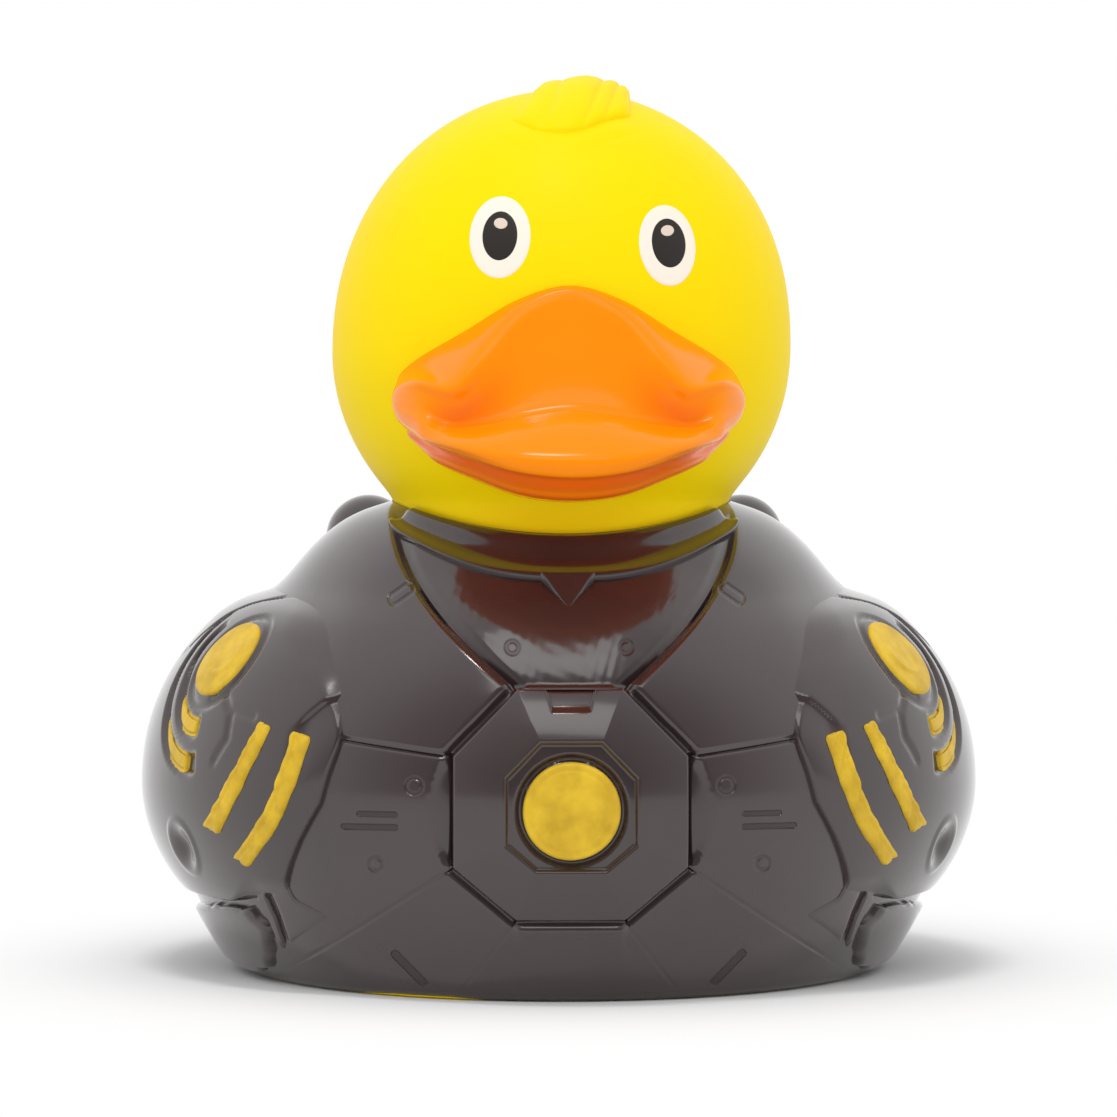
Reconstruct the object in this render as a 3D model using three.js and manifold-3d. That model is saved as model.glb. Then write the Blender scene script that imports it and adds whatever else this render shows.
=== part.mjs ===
// A hollow vinyl bath duck in a panelled suit, with the reed squeaker that is pressed into its base.
// Millimetres, +Z up, the face towards -Y. The origin is on the floor, under the middle of the duck.

import * as THREE from 'three';
import { ParametricGeometry } from 'three/addons/geometries/ParametricGeometry.js';
import { mergeVertices } from 'three/addons/utils/BufferGeometryUtils.js';
import Module from 'manifold-3d';

const wasm = await Module();
wasm.setup();

// Driving dimensions of the casting
const wall = 2.2;

const baseHalfWidth = 30.6;
const baseFront = 34;
const baseBack = 32.5;

const bellyHeight = 17.5;
const bellyHalfWidth = 37.5;
const bellyFront = 38.5;
const bellyBack = 40;
const baseRounding = 1.85;

const neckHalfWidth = 16;
const neckFront = 24;
const neckBack = 8;
const neckForward = 7.8;
const neckHeight = 44.1;
const neckTilt = 0.156;

const shoulderHeight = neckHeight - 7.5;
const shoulderOut = 10.2;
const shoulderLift = 0.8;
const breastOut = 6;
const breastDrop = 2;
const backOut = 20;

const headHalfWidth = 21.5;
const headHalfDepth = 22;
const headCrown = 25;
const headJaw = 20.4;
const headHeight = 58.7;
const headForward = 8;
const neckInset = 0.3;
const neckBlend = 0.4;

const billHalfWidth = 15.8;
const billTip = 43;
const billRootHeight = 64;
const billCornerHeight = 54.2;
const lipHeight = 48;
const chinHeight = 45;
const chinRise = 5.9;
const smileRise = 3.3;
const billRootSink = 2;
const billRidgeInset = 1.4;
const billRidgeProud = 1.7;

// The bill's sections between its ridge and its chin. Each is narrower than the bill by inset, its two ends stand
// ahead of the corners of the mouth by proud, and its curve ahead of them is less than the tip's by short.
const billScoop = { inset: 3.4, proud: 3.2, short: 15, height: 54.4 };
const billPlateau = { inset: 1.7, proud: 3, short: 9, height: 53.2, droop: 1.6 };
const billLipTop = { inset: 0.5, proud: 2.2, short: 3, height: lipHeight + 1.5 };
const billLip = { inset: 0, proud: 1.2, short: 1.2, height: lipHeight };
const billLipFoot = { inset: 1, proud: 0.6, short: 2.8, height: lipHeight - 1.2 };
const billChin = { inset: 1.3, proud: 0, short: 6, height: chinHeight };
const billFoot = { inset: 2.8, height: chinHeight + 0.5 };

const tailRise = 8.5;
const tailOut = 6.6;
const tailHeight = 29.5;
const tailHalfWidth = 9;
const tailHalfHeight = 6.5;

const sleeveStep = 1.1;
const sleeveBulge = 1.6;
const sleeveFront = 32;
const sleeveBackEdge = 138;
const handRadius = 4.9;
const podRadius = 4.2;
const podLength = 11;
const podPitch = 36;
const lockCount = 5;
const lockWidth = 1.9;
const lockLength = 7.2;
const lockHeight = 2.1;
const lockPitch = 22;
const lockSweep = 22;
const tuftFrom = -3.6;
const tuftTo = 3.8;
const tuftPeak = 1.4;
const tuftArch = 0.07;

// Driving dimensions of the raised trim
const collarWidth = 4;
const collarFoot = 0.79;
const collarProud = 0.8;
const plateApothem = 10.4;
const plateHeight = 17.8;
const plateProud = 0.6;
const badgeRadius = 4.3;
const badgeProud = 1.2;
const stripeWidth = 1.5;
const stripeProud = 0.5;
const shoulderDiscRadius = 3.7;

// Driving dimensions of the squeaker, and its seat in the base
const flangeRadius = 6.2;
const flangeThickness = 0.8;
const flangeLift = 0.5;
const shankRadius = 4.3;
const barbRadius = 4.9;
const barbHeight = 1;
const reedTubeRadius = 3.4;
const reedTubeLength = 5;
const squeakerBore = 1.5;
const fitGap = 0.3;

// Mesh fineness of the outer skin and of the hollow
const skin = { slices: 52, rows: 16, headSlices: 32, headRows: 20, across: 15, along: 12 };
const inside = { slices: 32, rows: 12, headSlices: 24, headRows: 14, across: 9, along: 8 };
const billRows = 16;
const billSteps = 16;

const paint = {
  suit: new THREE.MeshStandardMaterial({ color: 0x5c5150, roughness: 0.25, metalness: 0 }),
  squeaker: new THREE.MeshStandardMaterial({ color: 0xf2efe6, roughness: 0.45, metalness: 0 }),
};

const { lerp, smoothstep, degToRad } = THREE.MathUtils;

// Turns a geometry whose shared points coincide into a closed solid.
function solidOf(geometry) {
  geometry.deleteAttribute('normal');
  geometry.deleteAttribute('uv');
  const welded = mergeVertices(geometry, 1e-4);
  const corners = welded.index.array;
  const triVerts = [];
  for (let i = 0; i < corners.length; i += 3) {
    const [a, b, c] = [corners[i], corners[i + 1], corners[i + 2]];
    if (a !== b && b !== c && c !== a) triVerts.push(a, b, c);
  }
  const mesh = new wasm.Mesh({
    numProp: 3,
    vertProperties: Float32Array.from(welded.attributes.position.array),
    triVerts: Uint32Array.from(triVerts),
  });
  return new wasm.Manifold(mesh);
}

// Turns a solid back into a geometry.
function geometryOf(solid) {
  const mesh = solid.getMesh();
  const geometry = new THREE.BufferGeometry();
  geometry.setAttribute('position', new THREE.BufferAttribute(mesh.vertProperties, 3));
  geometry.setIndex(new THREE.BufferAttribute(mesh.triVerts, 1));
  geometry.computeVertexNormals();
  return geometry;
}

// One point of a cubic curve from a to d, with the handles b and c. Each is [reach, height].
function bezier(a, b, c, d, t) {
  const s = 1 - t;
  const blend = (i) => s * s * s * a[i] + 3 * s * s * t * b[i] + 3 * s * t * t * c[i] + t * t * t * d[i];
  return { reach: blend(0), height: blend(1) };
}

// A profile of the body in one direction: w runs from -1 at the base, past 0 at the belly, to 1 at the neck.
function profile(w, baseReach, bellyReach, shoulder, neck) {
  if (w < 0) {
    const fullness = 1 - (-w) ** baseRounding;
    return { reach: lerp(baseReach, bellyReach, fullness), height: bellyHeight * (1 + w) };
  }
  const upright = [bellyReach, lerp(bellyHeight, neckHeight, 0.5)];
  return bezier([bellyReach, bellyHeight], upright, shoulder, neck, w);
}

const neckSide = [neckHalfWidth, neckHeight];
const neckAhead = [neckFront, neckHeight - neckTilt * (neckFront - neckForward)];
const neckBehind = [neckBack, neckHeight + neckTilt * (neckBack + neckForward)];
const shoulderSide = [neckHalfWidth + shoulderOut, shoulderHeight + shoulderLift];
const shoulderAhead = [neckFront + breastOut, shoulderHeight - breastDrop];
const shoulderBehind = [neckBack + backOut, shoulderHeight];

// The torso: angle 0 faces forward and half a turn faces back.
function bodyPoint(angle, w) {
  const side = profile(w, baseHalfWidth, bellyHalfWidth, shoulderSide, neckSide);
  const front = profile(w, baseFront, bellyFront, shoulderAhead, neckAhead);
  const back = profile(w, baseBack, bellyBack, shoulderBehind, neckBehind);
  const middle = w > 0 ? -neckForward * w * w : 0;
  const ahead = Math.cos(angle);
  const across = Math.sin(angle);
  const reach = ahead > 0 ? front.reach + middle : back.reach - middle;
  const height = lerp(side.height, ahead > 0 ? front.height : back.height, ahead * ahead);
  const point = new THREE.Vector3(side.reach * across, middle - reach * ahead, height);
  if (ahead < 0) {
    const away = (point.x / tailHalfWidth) ** 2 + ((height - tailHeight) / tailHalfHeight) ** 2;
    const swell = Math.exp(-away);
    point.y += tailOut * swell;
    point.z += tailRise * swell;
  }
  return point;
}

// The outward direction of a surface given as point(a, b).
function outward(point, a, b) {
  const step = 1e-3;
  const along = point(a + step, b).sub(point(a - step, b));
  const up = point(a, b + step).sub(point(a, b - step));
  return along.cross(up).normalize();
}

// The torso surface, moved out by grow.
function grownBody(angle, w, grow) {
  const point = bodyPoint(angle, w);
  return grow === 0 ? point : point.addScaledVector(outward(bodyPoint, angle, w), grow);
}

// The torso as a closed solid, with its two ends closed by a middle point.
function torso(grow, fineness) {
  const last = fineness.rows + 2;
  return solidOf(new ParametricGeometry((u, v, target) => {
    const row = Math.round(v * last);
    const w = lerp(-1, 1, (row - 1) / fineness.rows);
    if (row === 0) target.set(0, 0, 0);
    else if (row === last) target.set(0, -neckForward, neckHeight + grow);
    else target.copy(grownBody(u * 2 * Math.PI, w, grow));
  }, fineness.slices, last));
}

// A closed cushion between an upper and a lower sheet that share their four edges.
function cushion(upper, lower, fineness) {
  return solidOf(new ParametricGeometry((u, v, target) => {
    target.copy(u <= 0.5 ? upper(2 * u, v) : lower(2 - 2 * u, v));
  }, fineness.across * 2, fineness.along));
}

// The sleeve lies on the torso, from its front edge round the side. Its own u runs across and v runs up.
const sleeveBottom = -0.52;
const sleeveTop = 0.72;
const sleeveKink = 0.2;
const sleeveHemTurn = 13;
const sleeveShoulderTurn = 8;
const sleeveBury = 0.8;

function sleeveSpot(side, u, v) {
  const w = lerp(sleeveBottom, sleeveTop, v);
  const [end, endTurn] = w < sleeveKink ? [sleeveBottom, sleeveHemTurn] : [sleeveTop, sleeveShoulderTurn];
  const frontEdge = sleeveFront + endTurn * (w - sleeveKink) / (end - sleeveKink);
  return { angle: side * degToRad(lerp(frontEdge, sleeveBackEdge, u)), w };
}

function sleeveLift(u, v) {
  const rim = smoothstep(u, 0, 0.06) * smoothstep(1 - u, 0, 0.14) * smoothstep(v, 0, 0.06)
    * smoothstep(1 - v, 0, 0.2);
  const crown = Math.sin(Math.PI * u) * Math.sin(Math.PI * v) ** 0.7;
  return (sleeveBury + sleeveStep) * rim + sleeveBulge * crown - sleeveBury;
}

function sleeve(side, grow, depth, fineness) {
  const upper = (u, v) => {
    const { angle, w } = sleeveSpot(side, u, v);
    return grownBody(angle, w, sleeveLift(u, v) + grow);
  };
  const lower = (u, v) => {
    const { angle, w } = sleeveSpot(side, u, v);
    const sink = Math.sqrt(16 * u * (1 - u) * v * (1 - v));
    return grownBody(angle, w, grow - sleeveBury - depth * sink);
  };
  if (side > 0) return cushion(upper, lower, fineness);
  return cushion((u, v) => upper(1 - u, v), (u, v) => lower(1 - u, v), fineness);
}

// The head's half width at a rise above its middle: an egg that runs out below into the upright neck.
function headRadius(rise) {
  const tall = rise > 0 ? headCrown : headJaw;
  const round = headHalfWidth * Math.sqrt(Math.max(1 - (rise / tall) ** 2, 0));
  if (rise > 0) return round;
  const neck = neckHalfWidth - neckInset;
  return neck + neckBlend * Math.log1p(Math.exp((round - neck) / neckBlend));
}

// The head and neck, drawn in by shrink, with the neck's foot sunk into the torso.
function head(shrink, fineness) {
  const foot = neckHeight - headHeight - collarWidth - 4;
  const outline = [];
  for (let i = 0; i <= fineness.headRows; i += 1) {
    const turn = (Math.PI / 2) * (i / fineness.headRows);
    const rise = i === 0 ? foot : lerp(foot, headCrown, Math.sin(turn));
    outline.push(new THREE.Vector2(Math.max(headRadius(rise) - shrink, 0.01), rise));
  }
  const low = new THREE.Vector2(0, foot);
  const top = new THREE.Vector2(0, headCrown - shrink);
  const kept = outline.filter((p) => p.y < headCrown - shrink * 1.3 - 0.01);
  const geometry = new THREE.LatheGeometry([low, ...kept, top], fineness.headSlices);
  geometry.rotateX(Math.PI / 2);
  geometry.scale(1, headHalfDepth / headHalfWidth, 1);
  geometry.translate(0, -headForward, headHeight);
  return solidOf(geometry);
}

// How far forward the face lies at a place in the front view.
function faceAt(x, z) {
  const rise = z - headHeight;
  const tall = rise > 0 ? headCrown : headJaw;
  const inside = 1 - (x / headHalfWidth) ** 2 - (rise / tall) ** 2;
  return -headForward - headHalfDepth * Math.sqrt(Math.max(inside, 0));
}

// The bill is a loft: at each turn from corner to corner, a curve goes from its root on the face, over the
// ridge, down into the scoop, out over the plateau, round the lip and back to the chin.
function billCurve(turn) {
  const x = Math.sin(turn);
  const out = Math.cos(turn);
  const q = Math.abs(x);
  const corner = -faceAt(billHalfWidth, billCornerHeight);
  const rootZ = lerp(billRootHeight, billCornerHeight, q ** 1.5);
  const ridgeZ = lerp(billRootHeight - billRidgeInset, billCornerHeight, q ** 1.3);
  const smile = smileRise * q ** 1.3;
  const chinUp = chinRise * q * q;
  const droop = billPlateau.droop * Math.sin(Math.PI * q) ** 2;
  const onFace = (inset, z, ahead) => {
    const width = (billHalfWidth - inset) * x;
    return new THREE.Vector3(width, faceAt(width, z) - ahead, z);
  };
  const section = ({ inset, proud, short, height }, up) => {
    const ahead = corner + proud + (billTip - corner - short) * out;
    return new THREE.Vector3((billHalfWidth - inset) * x, -ahead, height + up);
  };
  return new THREE.CatmullRomCurve3([
    onFace(0, rootZ, -billRootSink),
    onFace(billRidgeInset, ridgeZ, billRidgeProud + q),
    section(billScoop, 0),
    section(billPlateau, -droop),
    section(billLipTop, smile),
    section(billLip, smile),
    section(billLipFoot, smile),
    section(billChin, chinUp),
    onFace(billFoot.inset, billFoot.height + chinUp, -billRootSink),
  ]);
}

function bill() {
  const rings = [];
  for (let row = 0; row <= billRows; row += 1) {
    const turn = degToRad(lerp(-90, 90, row / billRows));
    rings.push(billCurve(turn).getPoints(billSteps - 1));
  }
  const middleOf = (ring) => ring.reduce((sum, p) => sum.add(p), new THREE.Vector3()).divideScalar(ring.length);
  const last = billRows + 2;
  return solidOf(new ParametricGeometry((u, v, target) => {
    const row = Math.round(v * last);
    const ring = rings[THREE.MathUtils.clamp(row - 1, 0, billRows)];
    if (row === 0 || row === last) target.copy(middleOf(ring));
    else target.copy(ring[Math.round(u * billSteps) % billSteps]);
  }, billSteps, last));
}

// A long rounded lump, laid on the head or the back.
function lump(radii, turn, place) {
  const geometry = new THREE.SphereGeometry(1, 12, 8);
  geometry.scale(...radii);
  geometry.rotateX(turn.pitch);
  geometry.rotateZ(turn.yaw);
  geometry.translate(...place);
  return solidOf(geometry);
}

// Locks of hair, swept from the front left up to the back right of the crown.
function tuft() {
  const made = [];
  for (let i = 0; i < lockCount; i += 1) {
    const x = lerp(tuftFrom, tuftTo, i / (lockCount - 1));
    const z = headHeight + headCrown - lockHeight - tuftArch * (x - tuftPeak) ** 2;
    const turn = { pitch: degToRad(lockPitch), yaw: degToRad(-lockSweep) };
    made.push(lump([lockWidth, lockLength, lockHeight], turn, [x, -headForward - 5, z]));
  }
  return made;
}

// A pod on each shoulder blade, just behind the neck.
function pod(side) {
  const geometry = new THREE.CapsuleGeometry(podRadius, podLength, 4, 12);
  geometry.rotateX(degToRad(-podPitch));
  geometry.translate(side * (neckHalfWidth + 2), neckBack + 8.5, neckHeight - 7.2);
  return solidOf(geometry);
}

function hand(side) {
  const turn = { pitch: 0, yaw: side * degToRad(35) };
  const radii = [handRadius, handRadius + 1.5, handRadius - 0.6];
  return lump(radii, turn, [side * (baseHalfWidth - 3), -baseFront * 0.42, handRadius]);
}

// The collar is a raised band across the front of the neck opening, between the two sides of the jacket.
function collar() {
  const spot = (u, v, grow) => grownBody(degToRad(lerp(-84, 84, u)), lerp(collarFoot, 1, v), grow);
  const rim = (s) => smoothstep(s, 0, 0.16) * smoothstep(1 - s, 0, 0.1);
  const upper = (u, v) => spot(u, v, (collarProud + sleeveBury) * rim(u) * rim(v) - sleeveBury);
  const lower = (u, v) => spot(u, v, -sleeveBury - Math.sqrt(16 * u * (1 - u) * v * (1 - v)));
  return cushion(upper, lower, { across: 22, along: 8 });
}

// A prism with the given front-view outline, reaching from well ahead of the duck to its middle.
function frontPrism(outline) {
  const depth = bellyFront + 10;
  const geometry = new THREE.ExtrudeGeometry(new THREE.Shape(outline), { depth, bevelEnabled: false });
  geometry.rotateX(Math.PI / 2);
  return solidOf(geometry);
}

function regularOutline(sides, apothem, x, z) {
  const radius = apothem / Math.cos(Math.PI / sides);
  return Array.from({ length: sides }, (_, i) => {
    const turn = (2 * Math.PI * (i + 0.5)) / sides;
    return new THREE.Vector2(x + radius * Math.cos(turn), z + radius * Math.sin(turn));
  });
}

// A bar's outline from one end to the other, mirrored to the side it is on.
function barOutline(side, from, to) {
  const start = new THREE.Vector2(side * from[0], from[1]);
  const end = new THREE.Vector2(side * to[0], to[1]);
  const off = end.clone().sub(start).normalize().rotateAround(new THREE.Vector2(), Math.PI / 2);
  off.multiplyScalar(stripeWidth / 2);
  const corners = [start.clone().add(off), start.clone().sub(off), end.clone().sub(off), end.clone().add(off)];
  return side > 0 ? corners.reverse() : corners;
}

const stripeEnds = [
  { from: [27.3, 24], to: [32, 14.2] },
  { from: [23.9, 23], to: [29.2, 11.4] },
];

function sleeveTrim(side) {
  const layer = sleeve(side, stripeProud, 1, skin);
  const bars = stripeEnds.map(({ from, to }) => frontPrism(barOutline(side, from, to)));
  const disc = new THREE.CylinderGeometry(shoulderDiscRadius, shoulderDiscRadius, 12, 24);
  disc.rotateZ(side * degToRad(-62));
  disc.rotateY(side * degToRad(-18));
  disc.rotateZ(side * degToRad(-30));
  disc.translate(side * 31.4, -17.5, 29.6);
  return [...bars, solidOf(disc)].map((cutter) => layer.intersect(cutter));
}

function chestTrim() {
  const plate = frontPrism(regularOutline(8, plateApothem, 0, plateHeight));
  const badge = frontPrism(regularOutline(28, badgeRadius, 0, plateHeight));
  return [torso(plateProud, skin).intersect(plate), torso(badgeProud, skin).intersect(badge)];
}

// The seat is a shallow counterbore for the flange, and a narrower hole that the barb snaps through.
function seat() {
  const counterbore = flangeLift + flangeThickness + fitGap;
  const profilePoints = [
    new THREE.Vector2(0, -1),
    new THREE.Vector2(flangeRadius + fitGap, -1),
    new THREE.Vector2(flangeRadius + fitGap, counterbore),
    new THREE.Vector2(shankRadius + fitGap, counterbore),
    new THREE.Vector2(shankRadius + fitGap, wall + 1),
    new THREE.Vector2(0, wall + 1),
  ];
  const geometry = new THREE.LatheGeometry(profilePoints, 32);
  geometry.rotateX(Math.PI / 2);
  return solidOf(geometry);
}

function squeaker() {
  const flangeTop = flangeLift + flangeThickness;
  const barbFoot = wall + fitGap;
  const barbTop = barbFoot + barbHeight;
  const tip = barbTop + reedTubeLength;
  const section = [
    new THREE.Vector2(squeakerBore, flangeLift),
    new THREE.Vector2(flangeRadius, flangeLift),
    new THREE.Vector2(flangeRadius, flangeTop),
    new THREE.Vector2(shankRadius, flangeTop),
    new THREE.Vector2(shankRadius, barbFoot),
    new THREE.Vector2(barbRadius, barbFoot),
    new THREE.Vector2(reedTubeRadius, barbTop),
    new THREE.Vector2(reedTubeRadius, tip),
    new THREE.Vector2(squeakerBore, tip),
    new THREE.Vector2(squeakerBore, flangeLift),
  ];
  const geometry = new THREE.LatheGeometry(section, 32);
  geometry.rotateX(Math.PI / 2);
  return solidOf(geometry);
}

// The hollow follows the torso, the head and the sleeves at one wall's distance, above the floor of the base.
function hollow() {
  const slab = new THREE.BoxGeometry(200, 200, 20);
  slab.translate(0, 0, wall - 10);
  const sleeves = [-1, 1].map((side) => sleeve(side, -wall, 1.2, inside));
  return wasm.Manifold.union([torso(-wall, inside), head(wall, inside), ...sleeves]).subtract(solidOf(slab));
}

function duckBody() {
  const sides = [-1, 1].flatMap((side) => [
    sleeve(side, 0, 1, skin), hand(side), pod(side), ...sleeveTrim(side),
  ]);
  const front = [bill(), collar(), ...tuft(), ...chestTrim()];
  const casting = wasm.Manifold.union([torso(0, skin), head(0, skin), ...front, ...sides]);
  const floor = new THREE.BoxGeometry(200, 200, 20);
  floor.translate(0, 0, -10);
  return casting.subtract(solidOf(floor)).subtract(hollow()).subtract(seat());
}

function named(name, solid, material) {
  const mesh = new THREE.Mesh(geometryOf(solid), material);
  mesh.name = name;
  return mesh;
}

const duck = new THREE.Group();
duck.add(named('duck_body', duckBody(), paint.suit));
duck.add(named('squeaker', squeaker(), paint.squeaker));

export default duck;
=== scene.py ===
# %% [markdown]
# # A vinyl bath duck in a glossy panelled suit
#
# The duck is one hollow casting of soft vinyl, with paint brushed and sprayed over it. The CAD part, loaded
# first, gives its real size and place. Everything below puts a fine painted skin over that part, one
# surface at a time, and each surface is a formula of two numbers worked out on a whole grid at once.

import bmesh
import bpy
import numpy as np
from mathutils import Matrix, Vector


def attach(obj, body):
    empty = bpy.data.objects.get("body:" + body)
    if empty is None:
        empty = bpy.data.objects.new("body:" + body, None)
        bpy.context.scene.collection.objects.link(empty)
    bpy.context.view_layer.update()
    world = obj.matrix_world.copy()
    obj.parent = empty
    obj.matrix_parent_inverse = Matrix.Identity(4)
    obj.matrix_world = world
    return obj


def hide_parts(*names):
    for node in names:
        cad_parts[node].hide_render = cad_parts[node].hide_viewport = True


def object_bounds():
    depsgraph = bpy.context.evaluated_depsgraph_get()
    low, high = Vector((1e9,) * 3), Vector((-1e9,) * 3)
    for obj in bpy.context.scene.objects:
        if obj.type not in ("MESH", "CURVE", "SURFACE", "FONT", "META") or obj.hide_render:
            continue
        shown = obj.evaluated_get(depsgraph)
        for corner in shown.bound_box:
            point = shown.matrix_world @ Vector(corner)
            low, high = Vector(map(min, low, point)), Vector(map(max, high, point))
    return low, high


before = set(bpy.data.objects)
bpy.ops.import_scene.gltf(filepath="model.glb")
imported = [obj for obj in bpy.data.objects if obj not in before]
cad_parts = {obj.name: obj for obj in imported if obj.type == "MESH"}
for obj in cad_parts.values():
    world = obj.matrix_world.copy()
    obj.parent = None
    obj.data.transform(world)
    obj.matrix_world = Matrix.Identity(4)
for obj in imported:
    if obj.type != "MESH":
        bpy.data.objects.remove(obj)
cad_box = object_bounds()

DUCK_HEIGHT = 84.9
mm = (cad_box[1].z - cad_box[0].z) / DUCK_HEIGHT
print("one millimetre of the duck is", round(mm, 6), "m here")


def mix(a, b, share):
    """a plus a share of the way to b."""
    return a + (b - a) * share


def ease(low, high, value):
    """0 below low, 1 above high, and between them the S-curve 3t^2 - 2t^3."""
    t = np.clip((value - low) / (high - low), 0, 1)
    return t * t * (3 - 2 * t)


def hump(distance, width):
    """A smooth bump: 1 at no distance and 0 past the width, as (1 - d^2)^2."""
    d = np.clip(np.abs(distance) / width, 0, 1)
    return (1 - d * d) ** 2


def through(points, count):
    """A Catmull-Rom curve through points, at count even steps. Each point may be an array.

    Between b and c it is half of 2b + (c - a)t + (2a - 5b + 4c - d)t^2 + (3b - a - 3c + d)t^3.
    """
    points = np.asarray(points, float)
    padded = np.concatenate([2 * points[:1] - points[1:2], points, 2 * points[-1:] - points[-2:-1]])
    place = np.linspace(0, len(points) - 1, count)
    first = np.minimum(place.astype(int), len(points) - 2)
    t = (place - first).reshape((-1,) + (1,) * (points.ndim - 1))
    a, b, c, d = (padded[first + k] for k in range(4))
    by_square, by_cube = 2 * a - 5 * b + 4 * c - d, 3 * b - a - 3 * c + d
    return 0.5 * (2 * b + (c - a) * t + by_square * t ** 2 + by_cube * t ** 3)


PATH_STEPS = 400


def along_path(points, shares):
    """Points at these shares of the length of the smooth curve through points."""
    fine = through(points, PATH_STEPS)
    length = np.concatenate([[0], np.cumsum(np.linalg.norm(np.diff(fine, axis=0), axis=1))])
    shares = np.asarray(shares, float)
    return np.stack([np.interp(shares * length[-1], length, part) for part in fine.T], -1)


def outward(surface, a, b):
    """The unit normal of surface(a, b): the cross product of its two slopes, by small differences."""
    step = 1e-4
    slope_a = surface(a + step, b) - surface(a - step, b)
    slope_b = surface(a, b + step) - surface(a, b - step)
    normal = np.cross(slope_a, slope_b)
    nothing = 1e-12
    return normal / np.maximum(np.linalg.norm(normal, axis=-1, keepdims=True), nothing)


NEWTON_ROUNDS = 14
NEWTON_REACH = 0.2


def seek(surface, x, z, a, b):
    """The (a, b) at which surface(a, b) has this x and z, by Newton's method from a first guess."""
    x, z, a, b = (np.array(part, float) for part in np.broadcast_arrays(x, z, a, b))
    step, least_det = 1e-5, 1e-6
    for _ in range(NEWTON_ROUNDS):
        here = surface(a, b)
        by_a = (surface(a + step, b) - here) / step
        by_b = (surface(a, b + step) - here) / step
        miss_x, miss_z = x - here[..., 0], z - here[..., 2]
        det = by_a[..., 0] * by_b[..., 2] - by_a[..., 2] * by_b[..., 0]
        det = np.where(np.abs(det) < least_det, least_det, det)
        move_a = (miss_x * by_b[..., 2] - miss_z * by_b[..., 0]) / det
        move_b = (miss_z * by_a[..., 0] - miss_x * by_a[..., 2]) / det
        a += np.clip(move_a, -NEWTON_REACH, NEWTON_REACH)
        b += np.clip(move_b, -NEWTON_REACH, NEWTON_REACH)
    return a, b


# %% [markdown]
# ## From a grid to a mesh
#
# A grid of points, rows by columns, becomes a mesh of four-sided faces. The columns run anticlockwise and
# the rows run upwards when the grid is looked at from outside, so that the faces point outwards. A grid may
# close on itself sideways, and each end may close to a single point. Pieces such as the suit join several
# grids, whose shared edges are then merged.

# %% Grids and pieces
MERGE_DISTANCE = 2e-3


def grid_faces(rows, columns, around, first):
    """Corner numbers of the faces between neighbouring rows and columns, starting at vertex first."""
    across = columns if around else columns - 1
    row, column = np.meshgrid(np.arange(rows - 1), np.arange(across), indexing="ij")
    after = (column + 1) % columns
    here, above = row * columns, (row + 1) * columns
    corners = [here + column, here + after, above + after, above + column]
    return first + np.stack(corners, -1).reshape(-1, 4)


def make_piece(name, grids, material, slot, around=False, close=(False, False), shade=None):
    """Joins grids of points in millimetres into one smooth mesh, which stands for the CAD casting."""
    grids = grids if isinstance(grids, list) else [grids]
    vertices, faces, count = [], [], 0
    for grid in grids:
        rows, columns = grid.shape[:2]
        vertices.append(grid.reshape(-1, 3))
        faces += grid_faces(rows, columns, around, count).tolist()
        for end, row in ((0, 0), (1, rows - 1)):
            if close[end]:
                vertices.append(grid[row].mean(0, keepdims=True))
                pole = count + rows * columns + (end if close[0] else 0)
                ring = count + row * columns + np.arange(columns)
                pairs = np.stack([ring, np.roll(ring, -1)], -1)[: columns if around else columns - 1]
                faces += [[b, a, pole] if end == 0 else [a, b, pole] for a, b in pairs.tolist()]
        count = sum(len(part) for part in vertices)
    mesh = bpy.data.meshes.new(name)
    mesh.from_pydata((np.concatenate(vertices) * mm).tolist(), [], faces)
    if len(grids) > 1:
        joined = bmesh.new()
        joined.from_mesh(mesh)
        bmesh.ops.remove_doubles(joined, verts=joined.verts, dist=MERGE_DISTANCE * mm)
        joined.to_mesh(mesh)
        joined.free()
    # shade is a painted shade mask, kept as a point attribute for the material's darker shade colour
    if shade is not None:
        mesh.attributes.new("shade", "FLOAT", "POINT").data.foreach_set("value", shade.ravel())
    mesh.shade_smooth()
    mesh.materials.append(material)
    piece = bpy.data.objects.new(name, mesh)
    bpy.context.scene.collection.objects.link(piece)
    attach(piece, "root")
    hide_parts("duck_body")
    print(name, "has", sum(len(p.vertices) - 2 for p in mesh.polygons), "triangles")


def make_pair(name, grid, material, slot, **how):
    """The piece on the duck's +X side, and its mirror image with the columns turned round."""
    make_piece(name + ".left", grid, material, slot, **how)
    make_piece(name + ".right", (grid * [-1, 1, 1])[:, ::-1], material, slot, **how)


# %% [markdown]
# ## Vinyl, paint and their small marks
#
# Rotocast vinyl is never quite flat: it has a faint orange-peel skin, and a thin spray of paint over it
# varies a little in tone at random. A node group makes that skin once, from two noise textures on the
# piece's own coordinates, and each material sets how deep and how coarse it is. The gloss itself is the
# Principled shader's, with a clear coat on the suit's sprayed paint. Where a piece carries a "shade"
# attribute, its
# colour also turns to a darker one there: that is painted shade, under the bill's lip and in its scoop.

# %% The shared vinyl skin
BROAD_HEIGHT = 3.0


def new_group(name, inputs, outputs):
    """An empty shader node group. An input is (name, type, default), and an output is (name, type)."""
    group = bpy.data.node_groups.new(name, "ShaderNodeTree")
    for socket_name, kind, default in inputs:
        socket = group.interface.new_socket(socket_name, in_out="INPUT", socket_type=kind)
        socket.default_value = default
    for socket_name, kind in outputs:
        group.interface.new_socket(socket_name, in_out="OUTPUT", socket_type=kind)
    return group, group.nodes.new("NodeGroupInput"), group.nodes.new("NodeGroupOutput")


def node(tree, kind, **settings):
    """A node of this kind: settings named after its properties or, for the rest, its input sockets."""
    made = tree.nodes.new(kind)
    for key, value in settings.items():
        if hasattr(made, key):
            setattr(made, key, value)
        else:
            made.inputs[key.replace("_", " ")].default_value = value
    return made


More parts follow.
